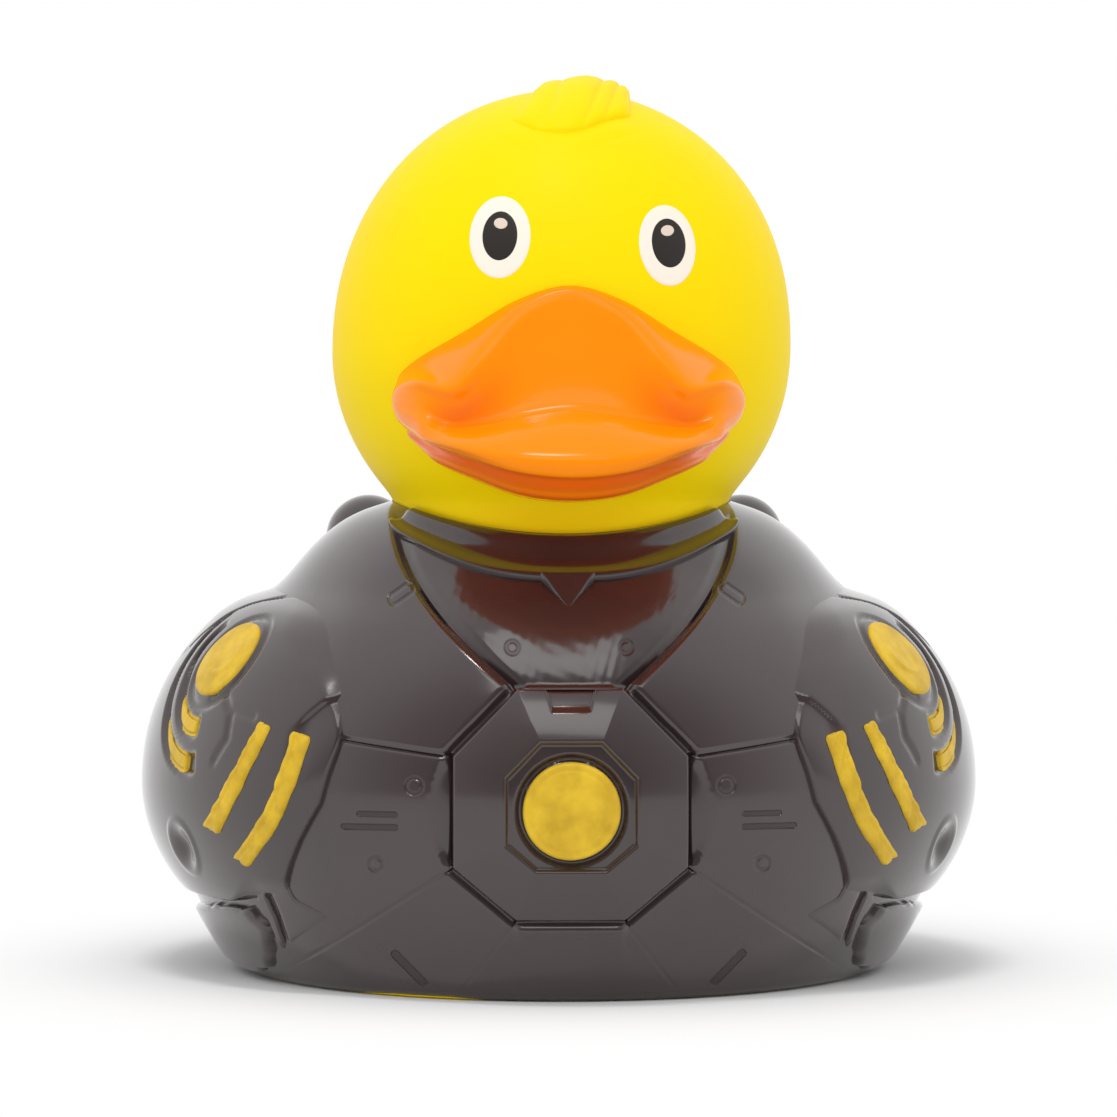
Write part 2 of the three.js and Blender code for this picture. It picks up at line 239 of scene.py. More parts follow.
def wire(tree, *links):
    """Joins sockets. Each link is (node, its output, node, its input), by the sockets' names or numbers."""
    for source, output, target, socket in links:
        tree.links.new(source.outputs[output], target.inputs[socket])


def vinyl_skin_group():
    """Height and shade of moulded vinyl, as fine noise plus some broad noise, and the broad noise alone."""
    group, inside, outside = new_group(
        "vinyl skin",
        [("Fine per Metre", "NodeSocketFloat", 900.0), ("Broad per Metre", "NodeSocketFloat", 60.0)],
        [("Height", "NodeSocketFloat"), ("Shade", "NodeSocketFloat")],
    )
    where = node(group, "ShaderNodeTexCoord")
    fine = node(group, "ShaderNodeTexNoise", Detail=2.0, Roughness=0.5)
    broad = node(group, "ShaderNodeTexNoise", Detail=3.0, Roughness=0.55)
    both = node(group, "ShaderNodeMath", operation="MULTIPLY_ADD")
    both.inputs[1].default_value = BROAD_HEIGHT
    wire(
        group,
        (where, "Object", fine, "Vector"),
        (where, "Object", broad, "Vector"),
        (inside, "Fine per Metre", fine, "Scale"),
        (inside, "Broad per Metre", broad, "Scale"),
        (broad, "Fac", both, 0),
        (fine, "Fac", both, 2),
        (both, 0, outside, "Height"),
        (broad, "Fac", outside, "Shade"),
    )
    return group


vinyl_skin = vinyl_skin_group()
print("group made:", vinyl_skin.name)


# %% [markdown]
# The mould also has marks too fine for the grids: short slots, ringed dimples and an oval on each side of
# the chest. A second group draws them in the front view, mirrored left and right, as masks of the distance
# to a short line. A slot is all that lies near the line, and a ring or an oval is what lies at its radius
# from the line. In the suit's paint a Bump node presses the marks in, and the clear coat is thin on them.

# %% The stamped marks
# A slot is a start and an end, each as x and z in millimetres, and a half width
SLOTS = [
    ((15.6, 16.9), (18.8, 16.85), 0.16),
    ((15.6, 15.75), (20.2, 15.65), 0.18),
    ((15.6, 4.05), (13.1, 1.5), 0.3),
]
SLOT_EDGE = 0.16
# A ring is a start, an end and a radius, and a round one ends where it starts
RINGS = [
    ((13.9, 19.5), (13.9, 19.5), 0.72),
    ((17.3, 12.35), (17.3, 12.35), 0.6),
    ((5.1, 31.7), (5.1, 31.7), 0.55),
    ((15.7, 35.8), (14.4, 36.7), 0.45),
]
RING_LINE = (0.05, 0.28)
RING_STRENGTH = 0.45
# The marks are only where y is less than this
FRONT_Y = -12.0


def stamped_marks_group():
    """A mask that is 1 on the slots, less on the rings and 0 elsewhere, from places in millimetres."""
    group, _, outside = new_group("stamped marks", [], [("Mark", "NodeSocketFloat")])
    where = node(group, "ShaderNodeTexCoord")
    duck = node(group, "ShaderNodeVectorMath", operation="SCALE")
    duck.inputs["Scale"].default_value = 1 / mm
    axes = node(group, "ShaderNodeSeparateXYZ")
    side = node(group, "ShaderNodeMath", operation="ABSOLUTE")
    flat = node(group, "ShaderNodeCombineXYZ")
    wire(
        group,
        (where, "Object", duck, 0),
        (duck, "Vector", axes, "Vector"),
        (axes, "X", side, 0),
        (side, 0, flat, "X"),
        (axes, "Z", flat, "Y"),
    )

    def distance_to(start, end):
        """A node whose Value is |p - a - t(b - a)|, with t the nearest share of the line, from 0 to 1."""
        line = np.array(end) - np.array(start)
        least_square = 1e-9
        away = node(group, "ShaderNodeVectorMath", operation="SUBTRACT")
        away.inputs[1].default_value = (*start, 0)
        share = node(group, "ShaderNodeVectorMath", operation="DOT_PRODUCT")
        share.inputs[1].default_value = (*(line / max(line @ line, least_square)), 0)
        kept = node(group, "ShaderNodeClamp")
        along = node(group, "ShaderNodeVectorMath", operation="SCALE")
        along.inputs[0].default_value = (*line, 0)
        off = node(group, "ShaderNodeVectorMath", operation="DISTANCE")
        wire(
            group,
            (flat, "Vector", away, 0),
            (away, "Vector", share, 0),
            (share, "Value", kept, "Value"),
            (kept, "Result", along, "Scale"),
            (away, "Vector", off, 0),
            (along, "Vector", off, 1),
        )
        return off

    masks = []
    for start, end, half_width in SLOTS:
        mask = node(group, "ShaderNodeMapRange", interpolation_type="SMOOTHSTEP",
                    From_Min=half_width + SLOT_EDGE, From_Max=half_width)
        wire(group, (distance_to(start, end), "Value", mask, "Value"))
        masks.append(mask)
    for start, end, radius in RINGS:
        off_ring = node(group, "ShaderNodeMath", operation="SUBTRACT")
        off_ring.inputs[1].default_value = radius
        near = node(group, "ShaderNodeMath", operation="ABSOLUTE")
        mask = node(group, "ShaderNodeMapRange", interpolation_type="SMOOTHSTEP",
                    From_Min=RING_LINE[1], From_Max=RING_LINE[0], To_Max=RING_STRENGTH)
        wire(
            group,
            (distance_to(start, end), "Value", off_ring, 0),
            (off_ring, 0, near, 0),
            (near, 0, mask, "Value"),
        )
        masks.append(mask)
    total = masks[0]
    for mask in masks[1:]:
        most = node(group, "ShaderNodeMath", operation="MAXIMUM")
        wire(group, (total, 0, most, 0), (mask, 0, most, 1))
        total = most
    front = node(group, "ShaderNodeMath", operation="LESS_THAN")
    front.inputs[1].default_value = FRONT_Y
    only = node(group, "ShaderNodeMath", operation="MULTIPLY")
    wire(
        group,
        (axes, "Y", front, 0),
        (total, 0, only, 0),
        (front, 0, only, 1),
        (only, 0, outside, "Mark"),
    )
    return group


stamped_marks = stamped_marks_group()
print("group made:", stamped_marks.name, "with", len(stamped_marks.nodes), "nodes")


# %% A painted or bare vinyl finish
COAT_ROUGHNESS = 0.1
MARK_DEPTH = 0.3


def vinyl(name, colour, deeper, roughness, depth, coat=0.0, fine=900.0, broad=60.0, shine=0.5, painted_shade_colour=None,
          marks=False):
    """A vinyl material: its colour drifts deeper with the broad noise, and turns to painted shade by
    "shade".
    """
    material = bpy.data.materials.new(name)
    material.use_nodes = True
    tree = material.node_tree
    shader = tree.nodes["Principled BSDF"]
    shader.inputs["Roughness"].default_value = roughness
    shader.inputs["Coat Weight"].default_value = coat
    shader.inputs["Coat Roughness"].default_value = COAT_ROUGHNESS
    shader.inputs["Specular IOR Level"].default_value = shine
    skin = node(tree, "ShaderNodeGroup", node_tree=vinyl_skin)
    skin.inputs["Fine per Metre"].default_value = fine
    skin.inputs["Broad per Metre"].default_value = broad
    bump = node(tree, "ShaderNodeBump", Strength=1.0, Distance=depth)
    drift = node(tree, "ShaderNodeMapRange", From_Min=0.35, From_Max=0.68)
    tint = node(tree, "ShaderNodeMix", data_type="RGBA")
    tint.inputs["A"].default_value = (*colour, 1)
    tint.inputs["B"].default_value = (*deeper, 1)
    # Painted shade: where the "shade" attribute is high, the colour turns to a darker one for shade
    shaded = node(tree, "ShaderNodeAttribute", attribute_name="shade")
    painted_shade_mix = node(tree, "ShaderNodeMix", data_type="RGBA")
    painted_shade_mix.inputs["B"].default_value = (*(painted_shade_colour or deeper), 1)
    relief = bump
    wire(tree, (skin, "Height", bump, "Height"))
    if marks:
        stamped = node(tree, "ShaderNodeGroup", node_tree=stamped_marks)
        relief = node(tree, "ShaderNodeBump", invert=True, Strength=1.0, Distance=MARK_DEPTH * mm)
        dull = node(tree, "ShaderNodeMapRange", To_Min=coat, To_Max=0.0)
        wire(
            tree,
            (stamped, "Mark", relief, "Height"),
            (bump, "Normal", relief, "Normal"),
            (stamped, "Mark", dull, "Value"),
            (dull, "Result", shader, "Coat Weight"),
        )
    wire(
        tree,
        (relief, "Normal", shader, "Normal"),
        (skin, "Shade", drift, "Value"),
        (drift, "Result", tint, "Factor"),
        (tint, "Result", painted_shade_mix, "A"),
        (shaded, "Fac", painted_shade_mix, "Factor"),
        (painted_shade_mix, "Result", shader, "Base Color"),
    )
    return material


suit_paint = vinyl("suit paint", (0.042, 0.026, 0.027), (0.034, 0.021, 0.021), 0.17, 6e-6, coat=0.7,
                   marks=True)
yellow_vinyl = vinyl("yellow vinyl", (0.98, 0.73, 0.001), (0.97, 0.7, 0.001), 0.45, 5e-6, shine=0.06)
# The orange's painted shade colour is a darker red-orange, for the shade under the bill's lip and in its
# scoop
orange_paint = vinyl("orange paint", (0.99, 0.265, 0.001), (0.98, 0.26, 0.001), 0.15, 4e-6, shine=0.14,
                     painted_shade_colour=(0.86, 0.11, 0.006))
gold_paint = vinyl("gold paint", (0.76, 0.5, 0.022), (0.58, 0.36, 0.012), 0.4, 3e-5, fine=2500.0,
                   broad=400.0, shine=0.3)
eye_white = vinyl("eye white print", (0.93, 0.85, 0.74), (0.91, 0.82, 0.7), 0.4, 4e-6, shine=0.2)
eye_black = vinyl("eye black print", (0.025, 0.021, 0.019), (0.03, 0.025, 0.023), 0.4, 4e-6, shine=0.2)
eye_glint = vinyl("eye glint print", (0.76, 0.63, 0.53), (0.74, 0.6, 0.5), 0.4, 4e-6, shine=0.2)
squeaker_plastic = vinyl("squeaker plastic", (0.8, 0.78, 0.7), (0.76, 0.74, 0.66), 0.45, 4e-6)
print("materials:", [m.name for m in bpy.data.materials])

# %% [markdown]
# ## The torso
#
# The duck's body is a soft drum with a flat base, full shoulders and a small tail. It is one formula,
# torso(angle, w): angle 0 faces forward, and w climbs from -1 at the base, past 0 at the belly, to 1 at the
# neck. Three profiles, for the front, the side and the back, are blended by the angle.

# %% The torso formula
BASE = {"side": 30.6, "front": 34.0, "back": 32.5}
BELLY = {"side": 37.5, "front": 38.5, "back": 40.0}
BELLY_HEIGHT = 17.5
NECK = {"side": 16.0, "front": 24.0, "back": 8.0}
NECK_FORWARD = 7.8
NECK_HEIGHT = 44.1
NECK_TILT = 0.156
SHOULDER = {"side": (26.4, 37.5), "front": (30.0, 34.6), "back": (28.0, 36.6)}
SHOULDER_SWELL = {"w": 0.85, "reach": 0.21, "height": 1.4}
SHOULDER_DIP = {"w": 0.64, "reach": 0.12, "height": 0.3}
TAIL = {"height": 29.5, "width": 9.0, "tall": 6.5, "out": 6.6, "up": 8.5}
TAPER_POWER = 1.85
LOWEST_W, HIGHEST_W = -1.2, 1.1


def torso_profile(w, direction, neck_height):
    """Below the belly the reach tapers, as 1 - (-w)^1.85, and above it a cubic curve runs to the neck.

    Both go on a little past their ends, so that a normal can be worked out there.
    """
    down = np.clip(-w, 0, -LOWEST_W)
    low_reach = mix(BASE[direction], BELLY[direction], 1 - down ** TAPER_POWER)
    t = np.clip(w, 0, HIGHEST_W)
    s = 1 - t
    shares = (s ** 3, 3 * s * s * t, 3 * s * t * t, t ** 3)
    reaches = (BELLY[direction], BELLY[direction], SHOULDER[direction][0], NECK[direction])
    heights = (BELLY_HEIGHT, mix(BELLY_HEIGHT, NECK_HEIGHT, 0.5), SHOULDER[direction][1], neck_height)
    high_reach = sum(share * reach for share, reach in zip(shares, reaches))
    high_height = sum(share * height for share, height in zip(shares, heights))
    return np.where(w < 0, low_reach, high_reach), np.where(w < 0, BELLY_HEIGHT * (1 + w), high_height)


def torso(angle, w):
    """The body's surface: an ellipse at each w, with a swelling on its back for the tail."""
    angle, w = np.broadcast_arrays(np.asarray(angle, float), np.asarray(w, float))
    side_reach, side_height = torso_profile(w, "side", NECK_HEIGHT)
    for bend, sign in ((SHOULDER_SWELL, 1), (SHOULDER_DIP, -1)):
        side_height = side_height + sign * bend["height"] * hump(w - bend["w"], bend["reach"])
    front_neck = NECK_HEIGHT - NECK_TILT * (NECK["front"] - NECK_FORWARD)
    back_neck = NECK_HEIGHT + NECK_TILT * (NECK["back"] + NECK_FORWARD)
    front_reach, front_height = torso_profile(w, "front", front_neck)
    back_reach, back_height = torso_profile(w, "back", back_neck)
    middle = np.where(w > 0, -NECK_FORWARD * w * w, 0)
    ahead, across = np.cos(angle), np.sin(angle)
    reach = np.where(ahead > 0, front_reach + middle, back_reach - middle)
    height = mix(side_height, np.where(ahead > 0, front_height, back_height), ahead ** 2)
    x = side_reach * across
    y = middle - reach * ahead
    swell = np.exp(-((x / TAIL["width"]) ** 2) - ((height - TAIL["height"]) / TAIL["tall"]) ** 2)
    swell = swell * (ahead < 0)
    return np.stack([x, y + TAIL["out"] * swell, height + TAIL["up"] * swell], -1)


def raised_torso(angle, w, lift):
    """The torso moved out along its normal by lift."""
    return torso(angle, w) + outward(torso, angle, w) * np.asarray(lift)[..., None]


print("belly width in mm:", round(2 * float(torso(np.pi / 2, 0.0)[0]), 1))

# %% [markdown]
# ## The web of seams on the chest
#
# The suit's front is laid out like a web: an eight-sided plate, and a seam running out from each of its
# corners. Cut into an ordinary grid, such seams would come out jagged, so this grid follows the web
# instead. Its rings grow from the plate's outline to the edge of the chest, its spokes are the seams
# themselves, and the lines crowd together next to each seam, where the surface turns sharply. Each of the
# eight fields is a Coons patch, which blends its four sides, drawn flat in the front view and then carried
# back to the torso by Newton's method.

# %% Layout of the web
PLATE_MIDDLE = np.array([0.0, 17.8])
PLATE_CORNERS = PLATE_MIDDLE + np.array([[4.7, 10.3], [10.5, 4.4], [10.5, -5.5], [4.8, -10.3]])
NECK_CORNER = np.radians(76)
HEM_CORNER = np.radians(66)
SIDE_EDGE = np.radians(48)
SIDE_SEAM_W = 0.19
LOW_SEAM_ANGLE = np.radians(19.7)
EDGE_WIDENS = {"up": 0.35, "down": 0.4}
NECK_SEAM_BENDS = np.array([[10.5, 33.2], [15.6, 37.5]])
SEAM_LINES = np.array([0.0, 0.1, 0.2, 0.3, 0.42, 0.56, 0.75, 1.0, 1.3])


def chest_edge(w):
    """The angle at which the chest ends and the back begins: wider at the neck and at the base."""
    up = (NECK_CORNER - SIDE_EDGE) * ease(EDGE_WIDENS["up"], 1, w)
    return SIDE_EDGE + up + (HEM_CORNER - SIDE_EDGE) * ease(EDGE_WIDENS["down"], 1, -np.asarray(w, float))


def front_view(angle, w):
    """The x and z of a place on the torso."""
    return torso(angle, w)[..., [0, 2]]


def seam(number, s):
    """The seam from plate corner number 0, 1, 2 or 3, at shares s of its length.

    The first is a cubic curve up to the neck, and the others are straight.
    """
    s = np.asarray(s, float)[..., None]
    start = PLATE_CORNERS[number]
    side_seam = (chest_edge(SIDE_SEAM_W), SIDE_SEAM_W)
    ends = [(NECK_CORNER, 1.0), side_seam, (HEM_CORNER, -1.0), (LOW_SEAM_ANGLE, -1.0)]
    end = front_view(*ends[number])
    if number:
        return mix(start, end, s)
    first, second = NECK_SEAM_BENDS
    r = 1 - s
    return r ** 3 * start + 3 * r * r * s * first + 3 * r * s * s * second + s ** 3 * end


def chest_rim(field, t):
    """The angle and w along the outer side of a field: field 0 is at the neck, and 4 at the base."""
    flat = np.zeros_like(t)
    if field == 0:
        return mix(-NECK_CORNER, NECK_CORNER, t), flat + 1
    if field in (1, 2):
        w = mix(1.0, SIDE_SEAM_W, t) if field == 1 else mix(SIDE_SEAM_W, -1.0, t)
        return chest_edge(w), w
    start, end = (HEM_CORNER, LOW_SEAM_ANGLE) if field == 3 else (LOW_SEAM_ANGLE, -LOW_SEAM_ANGLE)
    return mix(start, end, t), flat - 1


def crowded(length, count, both):
    """Shares of a line: the seam lines' distances from its start, and its end if both, and even between."""
    length = np.asarray(length, float)[..., None]
    start = SEAM_LINES / length
    finish = 1 - SEAM_LINES[::-1] / length if both else np.ones_like(length)
    even = np.linspace(0, 1, count + 2)[1:-1]
    return np.concatenate([start, mix(start[..., -1:], finish[..., :1], even), finish], -1)


# %% One field of the web
FIELD_COLUMNS = (60, 66, 46, 40, 40)
OUTER_ROWS = 56
RIM_STEPS = 400


def other_side(pair):
    """A front-view place on the other side of the duck."""
    return pair * [-1, 1]


def field_sides(field):
    """The two corners and the two seams that bound a field, going clockwise from the top one."""
    if field == 0:
        corner = PLATE_CORNERS[0]
        return other_side(corner), corner, lambda s: other_side(seam(0, s)), lambda s: seam(0, s)
    if field == 4:
        corner = PLATE_CORNERS[3]
        return corner, other_side(corner), lambda s: seam(3, s), lambda s: other_side(seam(3, s))
    a, b = field - 1, field
    return PLATE_CORNERS[a], PLATE_CORNERS[b], lambda s: seam(a, s), lambda s: seam(b, s)


def chest_field(field):
    """The rings outside the plate in one field, as x and z, and the angle and w of its rim.

    The rings are the Coons blend of the field's four sides: its plate edge, its rim and its two seams.
    """
    start, end, seam_a, seam_b = field_sides(field)
    rim_t = np.linspace(0, 1, RIM_STEPS)
    rim_xz = front_view(*chest_rim(field, rim_t))
    rim_length = np.linalg.norm(np.diff(rim_xz, axis=0), axis=1).sum()
    run_a, run_b = (np.linalg.norm(side(1.0) - side(0.0)) for side in (seam_a, seam_b))
    t_rim = crowded(rim_length, FIELD_COLUMNS[field], True)
    s = crowded(mix(run_a, run_b, t_rim), OUTER_ROWS, False).T
    run = mix(np.linalg.norm(end - start), rim_length, s)
    t = [crowded(run[:, j], FIELD_COLUMNS[field], True)[:, j] for j in range(len(t_rim))]
    t = np.stack(t, -1)
    plate_side = mix(start, end, t[..., None])
    rim_side = front_view(*chest_rim(field, t))
    bow_a = seam_a(s) - mix(start, seam_a(1.0), s[..., None])
    bow_b = seam_b(s) - mix(end, seam_b(1.0), s[..., None])
    grid = mix(plate_side, rim_side, s[..., None]) + bow_a * (1 - t[..., None]) + bow_b * t[..., None]
    angle, w = chest_rim(field, t_rim)
    return grid, angle, w


fields = [chest_field(number) for number in range(5)]
print("rings and spokes of each field:", [f[0].shape[:2] for f in fields])


# %% [markdown]
# ## The relief of the chest
#
# The plate stands proud, rises towards the middle as a flat-sided pyramid, and holds a well for the gold
# disc. Some of its edges are deep grooves, others only a line. The relief adds all of that as a height over
# the torso, from the distance to the plate's edges, to the seams and to a few small notches.

# %% Relief heights
def plate_distance(x, z):
    """How far a place is outside the plate, negative inside: the largest distance of its eight sides."""
    corners = np.concatenate([PLATE_CORNERS, (PLATE_CORNERS * [-1, 1])[::-1]])
    place = np.stack([x, z], -1)
    furthest = None
    for start, end in zip(corners, np.roll(corners, -1, axis=0)):
        along = (end - start) / np.linalg.norm(end - start)
        off = (place - start) @ np.array([-along[1], along[0]])
        furthest = off if furthest is None else np.maximum(furthest, off)
    return furthest


def line_distance(x, z, path):
    """The distance to a line through the points of path: the nearest of its straight pieces."""
    nearest = np.full(np.shape(x), 1e9)
    for (ax, az), (bx, bz) in zip(path[:-1], path[1:]):
        run_x, run_z = bx - ax, bz - az
        share = np.clip(((x - ax) * run_x + (z - az) * run_z) / (run_x ** 2 + run_z ** 2), 0, 1)
        nearest = np.minimum(nearest, np.hypot(x - mix(ax, bx, share), z - mix(az, bz, share)))
    return nearest


PLATE_PROUD = 0.5
PLATE_FADE = (6.2, 8.2)
PLATE_RIM = 0.3
PLATE_RISE = 1.0
WELL_EDGE = 4.75
WELL_WALL = 0.35
WELL_DEPTH = 0.5
DISC_MIDDLE = (0.0, 17.5)
DISC_RADIUS = 4.27
RING_GROOVE = {"out": 0.25, "half": 0.45, "depth": 0.45}
NOTCH = {"top": 28.1, "tall": 2.1, "top_half": 2.2, "foot_half": 1.7, "foot": (25.95, 26.25), "depth": 0.45}
NOTCH_EDGE = 0.12


def plate_relief(x, z):
    """Inside the plate: a rounded rim, a pyramid, a well with a ring groove round the disc, and a notch."""
    inside = np.maximum(-plate_distance(x, z), 0)
    rim = PLATE_PROUD * ease(*PLATE_FADE, z) * ease(0, PLATE_RIM, inside) ** 0.5
    height = rim + PLATE_RISE * np.clip(inside / WELL_EDGE, 0, 1)
    height -= WELL_DEPTH * ease(WELL_EDGE, WELL_EDGE + WELL_WALL, inside)
    ring = np.hypot(x - DISC_MIDDLE[0], z - DISC_MIDDLE[1]) - DISC_RADIUS
    height -= RING_GROOVE["depth"] * hump(ring - RING_GROOVE["out"], RING_GROOVE["half"])
    down = np.clip((NOTCH["top"] - z) / NOTCH["tall"], 0, 1)
    notch_side = np.abs(x) - mix(NOTCH["top_half"], NOTCH["foot_half"], down)
    notch = ease(NOTCH_EDGE, -NOTCH_EDGE, notch_side) * ease(*NOTCH["foot"], z)
    return height - NOTCH["depth"] * notch


SEAM_STEPS = 25
RELIEF_START = 0.8
BIB_EDGE = {"depth": 0.45, "half": 1.15}
BIB_WAVES = 0.008
BIB_SWELL = {"height": 35, "half": 3.5, "rise": 0.2}
BIB_SLOPE = {"from": 34.5, "bend": 0.8, "drop": 0.13}
LAPEL = {"rise": 0.45, "edge": (0.1, 0.95), "run": 9, "crease": 0.45, "half": 0.5}
# The seams from the second on: beside which fields, and their ridge and crease
CREASES = [
    {"fields": (1, 2), "ridge": 0.0, "depth": 0.28, "half": 0.45},
    {"fields": (2, 3), "ridge": 0.22, "depth": 0.1, "half": 0.3},
    {"fields": (3, 4), "ridge": 0.18, "depth": 0.06, "half": 0.3},
]
RIDGE_RUN = 2.5
# The groove round the plate in each field, as its width and depth
PLATE_GROOVES = [(0.22, 0.3), (0.85, 0.6), (0.3, 0.25), (0.62, 0.5), (0.2, 0.1)]
GROOVE_SLOPE = 0.1
CRESCENT = {"reach": 2.2, "height": 17.4, "half": 4.9, "depth": 0.8}
LEDGE = {"run": 1.4, "ends": (5.3, 4.3)}


def bib_relief(x, z, first):
    """The bib: sunk along the first seams, swelling under the collar, sloping in below, faintly uneven."""
    waves = np.sin(4.3 * x + 1.3 * z) * np.sin(1.8 * x - 3.1 * z + 1) + np.sin(7.1 * x - 1.9 * z) / 2
    height = -BIB_EDGE["depth"] * hump(first, BIB_EDGE["half"]) + BIB_WAVES * waves
    swell = BIB_SWELL["rise"] * hump(z - BIB_SWELL["height"], BIB_SWELL["half"])
    slope = BIB_SLOPE["drop"] * np.logaddexp(0, (BIB_SLOPE["from"] - z) / BIB_SLOPE["bend"])
    return height + (swell - slope)


def lapel_relief(first):
    """Beside the first seam the jacket rises out of a crease, and its rise dies away from there."""
    rise = LAPEL["rise"] * ease(*LAPEL["edge"], first) * np.exp(-first / LAPEL["run"])
    return rise - LAPEL["crease"] * hump(first, LAPEL["half"])


def jacket_relief(x, z, field):
    """Outside the plate: the bib or the jacket, creased seams, a groove, a crescent and a ledge."""
    out = np.maximum(plate_distance(x, z), 0)
    side = np.abs(x)
    first, *others = (line_distance(side, z, seam(k, np.linspace(0, 1, SEAM_STEPS))) for k in range(4))
    start = ease(0.0, RELIEF_START, out)
    height = 0 * start
    if field == 0:
        height = bib_relief(x, z, first) * start
    if field == 1:
        height = lapel_relief(first) * start
    for distance, crease in zip(others, CREASES):
        if field in crease["fields"]:
            ridge = crease["ridge"] * np.exp(-distance / RIDGE_RUN)
            height += ridge - crease["depth"] * hump(distance, crease["half"])
    width, depth = PLATE_GROOVES[field]
    height -= depth * hump(out - width / 2, width / 2 + GROOVE_SLOPE)
    if field == 2:
        least = 1e-3
        up = (z - CRESCENT["height"]) / CRESCENT["half"]
        reach = CRESCENT["reach"] * np.sqrt(np.clip(1 - up ** 2, 0, 1)) + least
        height -= CRESCENT["depth"] * np.clip(1 - out / reach, 0, 1)
    if field == 4:
        height += start * np.exp(-out / LEDGE["run"]) * ease(*LEDGE["ends"], side)
    return height


# %% The whole suit body
BASE_ROUNDING = 0.7
BACK_COLUMNS = 72
GUESS_RISE = 30
GUESS_LIMIT = 0.95
LIFT_FADES = 0.72
PLATE_SHARES = [[0.02, 0.14, 0.26, 0.34], np.linspace(0.38, 0.6, 20), np.linspace(0.625, 0.92, 12),
                np.linspace(0.93, 1, 9)]


def round_base(points):
    """Draws the lowest edge in, so that the wall meets the floor in a quarter circle."""
    low = np.clip(BASE_ROUNDING - points[..., 2], 0, BASE_ROUNDING)
    inward = BASE_ROUNDING - np.sqrt(np.maximum(BASE_ROUNDING ** 2 - low ** 2, 0))
    flat = points[..., :2] / np.linalg.norm(points[..., :2], axis=-1, keepdims=True)
    return np.concatenate([points[..., :2] - flat * inward[..., None], points[..., 2:]], -1)


def on_torso(x, z, lift, angle=None, w=None):
    """Places a front-view grid on the torso, moved out by lift.

    If the last ring's angle and w are given, the lift fades to nothing there, so that it meets the back.
    """
    guess_w = np.where(z < BELLY_HEIGHT, z / BELLY_HEIGHT - 1, (z - BELLY_HEIGHT) / GUESS_RISE)
    guess_reach = mix(BELLY["side"], NECK["side"], np.clip(guess_w, 0, 1) ** 3)
    guess_angle = np.arcsin(np.clip(x / guess_reach, -GUESS_LIMIT, GUESS_LIMIT))
    found_angle, found_w = seek(torso, x, z, guess_angle, guess_w)
    if angle is not None:
        found_angle[-1], found_w[-1] = angle, w
        lift = lift * ease(1, LIFT_FADES, np.linspace(0, 1, len(x)))[:, None]
    return raised_torso(found_angle, found_w, lift)


def both_sides(field, points):
    """A field's grid and, for the three on the duck's left, its mirror image too."""
    return [points, (points * [-1, 1, 1])[:, ::-1]] if field in (1, 2, 3) else [points]


def chest_grids():
    """The rings outside the plate, field by field."""
    grids = []
    for number, (grid, angle, w) in enumerate(fields):
        x, z = grid[..., 0], grid[..., 1]
        points = on_torso(x, z, jacket_relief(x, z, number), angle, w)
        grids += both_sides(number, round_base(points))
    return grids


def plate_grids():
    """The rings inside the plate: shrunken copies of its outline, crowded at the well and at the rim."""
    shares = np.concatenate(PLATE_SHARES)
    grids = []
    for number, (grid, *_) in enumerate(fields):
        ring = PLATE_MIDDLE + (grid[0] - PLATE_MIDDLE) * shares[:, None, None]
        x, z = ring[..., 0], ring[..., 1]
        grids += both_sides(number, on_torso(x, z, plate_relief(x, z)))
    return grids


def back_grid():
    """The side and back, whose rows start at the same places as the chest's side columns end."""
    w = np.concatenate([fields[1][2], fields[2][2][1:]])[::-1]
    start = chest_edge(w)
    share = np.linspace(0, 1, BACK_COLUMNS)
    angle = mix(start[:, None], 2 * np.pi - start[:, None], share)
    return round_base(raised_torso(angle, w[:, None] + 0 * angle, 0 * angle))


suit_grids = chest_grids() + plate_grids() + [back_grid()]
make_piece("suit_body", suit_grids, suit_paint, "suit_paint")

# %% [markdown]
# ## The underside
#
# The duck stands on a flat base that isn't painted, so it is bare yellow vinyl. A shallow seat in its
# middle takes the squeaker. The sheet is a set of rings from the suit's lower edge in to that seat: each
# ring is a mix of the body's outline and a circle. A sliver of the same yellow shows above the suit's
# lowest edge at the front.

# %% Base and squeaker seat
SEAT_RADIUS = 6.5
HOLE_RADIUS = 4.6
SEAT_DEPTH = 1.6
WALL = 2.2
PAST_WALL = 0.3
BASE_COLUMNS = 240
FLOOR_RINGS = 14
# In degrees from the front, and in millimetres
BARE_EDGE = {"start": -42, "full": (-30, -22), "end": -12, "height": 0.24, "proud": 0.03, "bow": 0.06}


def base_rings():
    """Rings on the floor from the body's rim to the seat, then up its wall, in across it and up the hole."""
    angle = np.linspace(0, 2 * np.pi, BASE_COLUMNS, endpoint=False)
    rim = round_base(torso(angle, -1 + 0 * angle))
    circle = np.stack([np.sin(angle), -np.cos(angle), 0 * angle], -1)
    rings = [mix(rim, circle * SEAT_RADIUS, share) for share in np.linspace(0, 1, FLOOR_RINGS)]
    steps = [(SEAT_RADIUS, SEAT_DEPTH), (HOLE_RADIUS, SEAT_DEPTH), (HOLE_RADIUS, WALL + PAST_WALL)]
    rings += [circle * radius + [0, 0, height] for radius, height in steps]
    return np.array(rings)[::-1]


make_piece("base", base_rings(), yellow_vinyl, "yellow_vinyl", around=True)


def bare_edge_grid():
    """A sliver over the suit's lowest edge, where the paint stops short at the front on the duck's right."""
    start, end = BARE_EDGE["start"], BARE_EDGE["end"]
    angle, up = np.meshgrid(np.radians(np.linspace(start, end, 60)), np.linspace(0, 1, 6))
    degrees = np.degrees(angle)
    height = BARE_EDGE["height"] * ease(start, BARE_EDGE["full"][0], degrees)
    height = height * ease(end, BARE_EDGE["full"][1], degrees) * up
    lift = BARE_EDGE["proud"] - BARE_EDGE["bow"] * (up - 0.5) ** 2
    return round_base(raised_torso(angle, height / BELLY_HEIGHT - 1, lift))


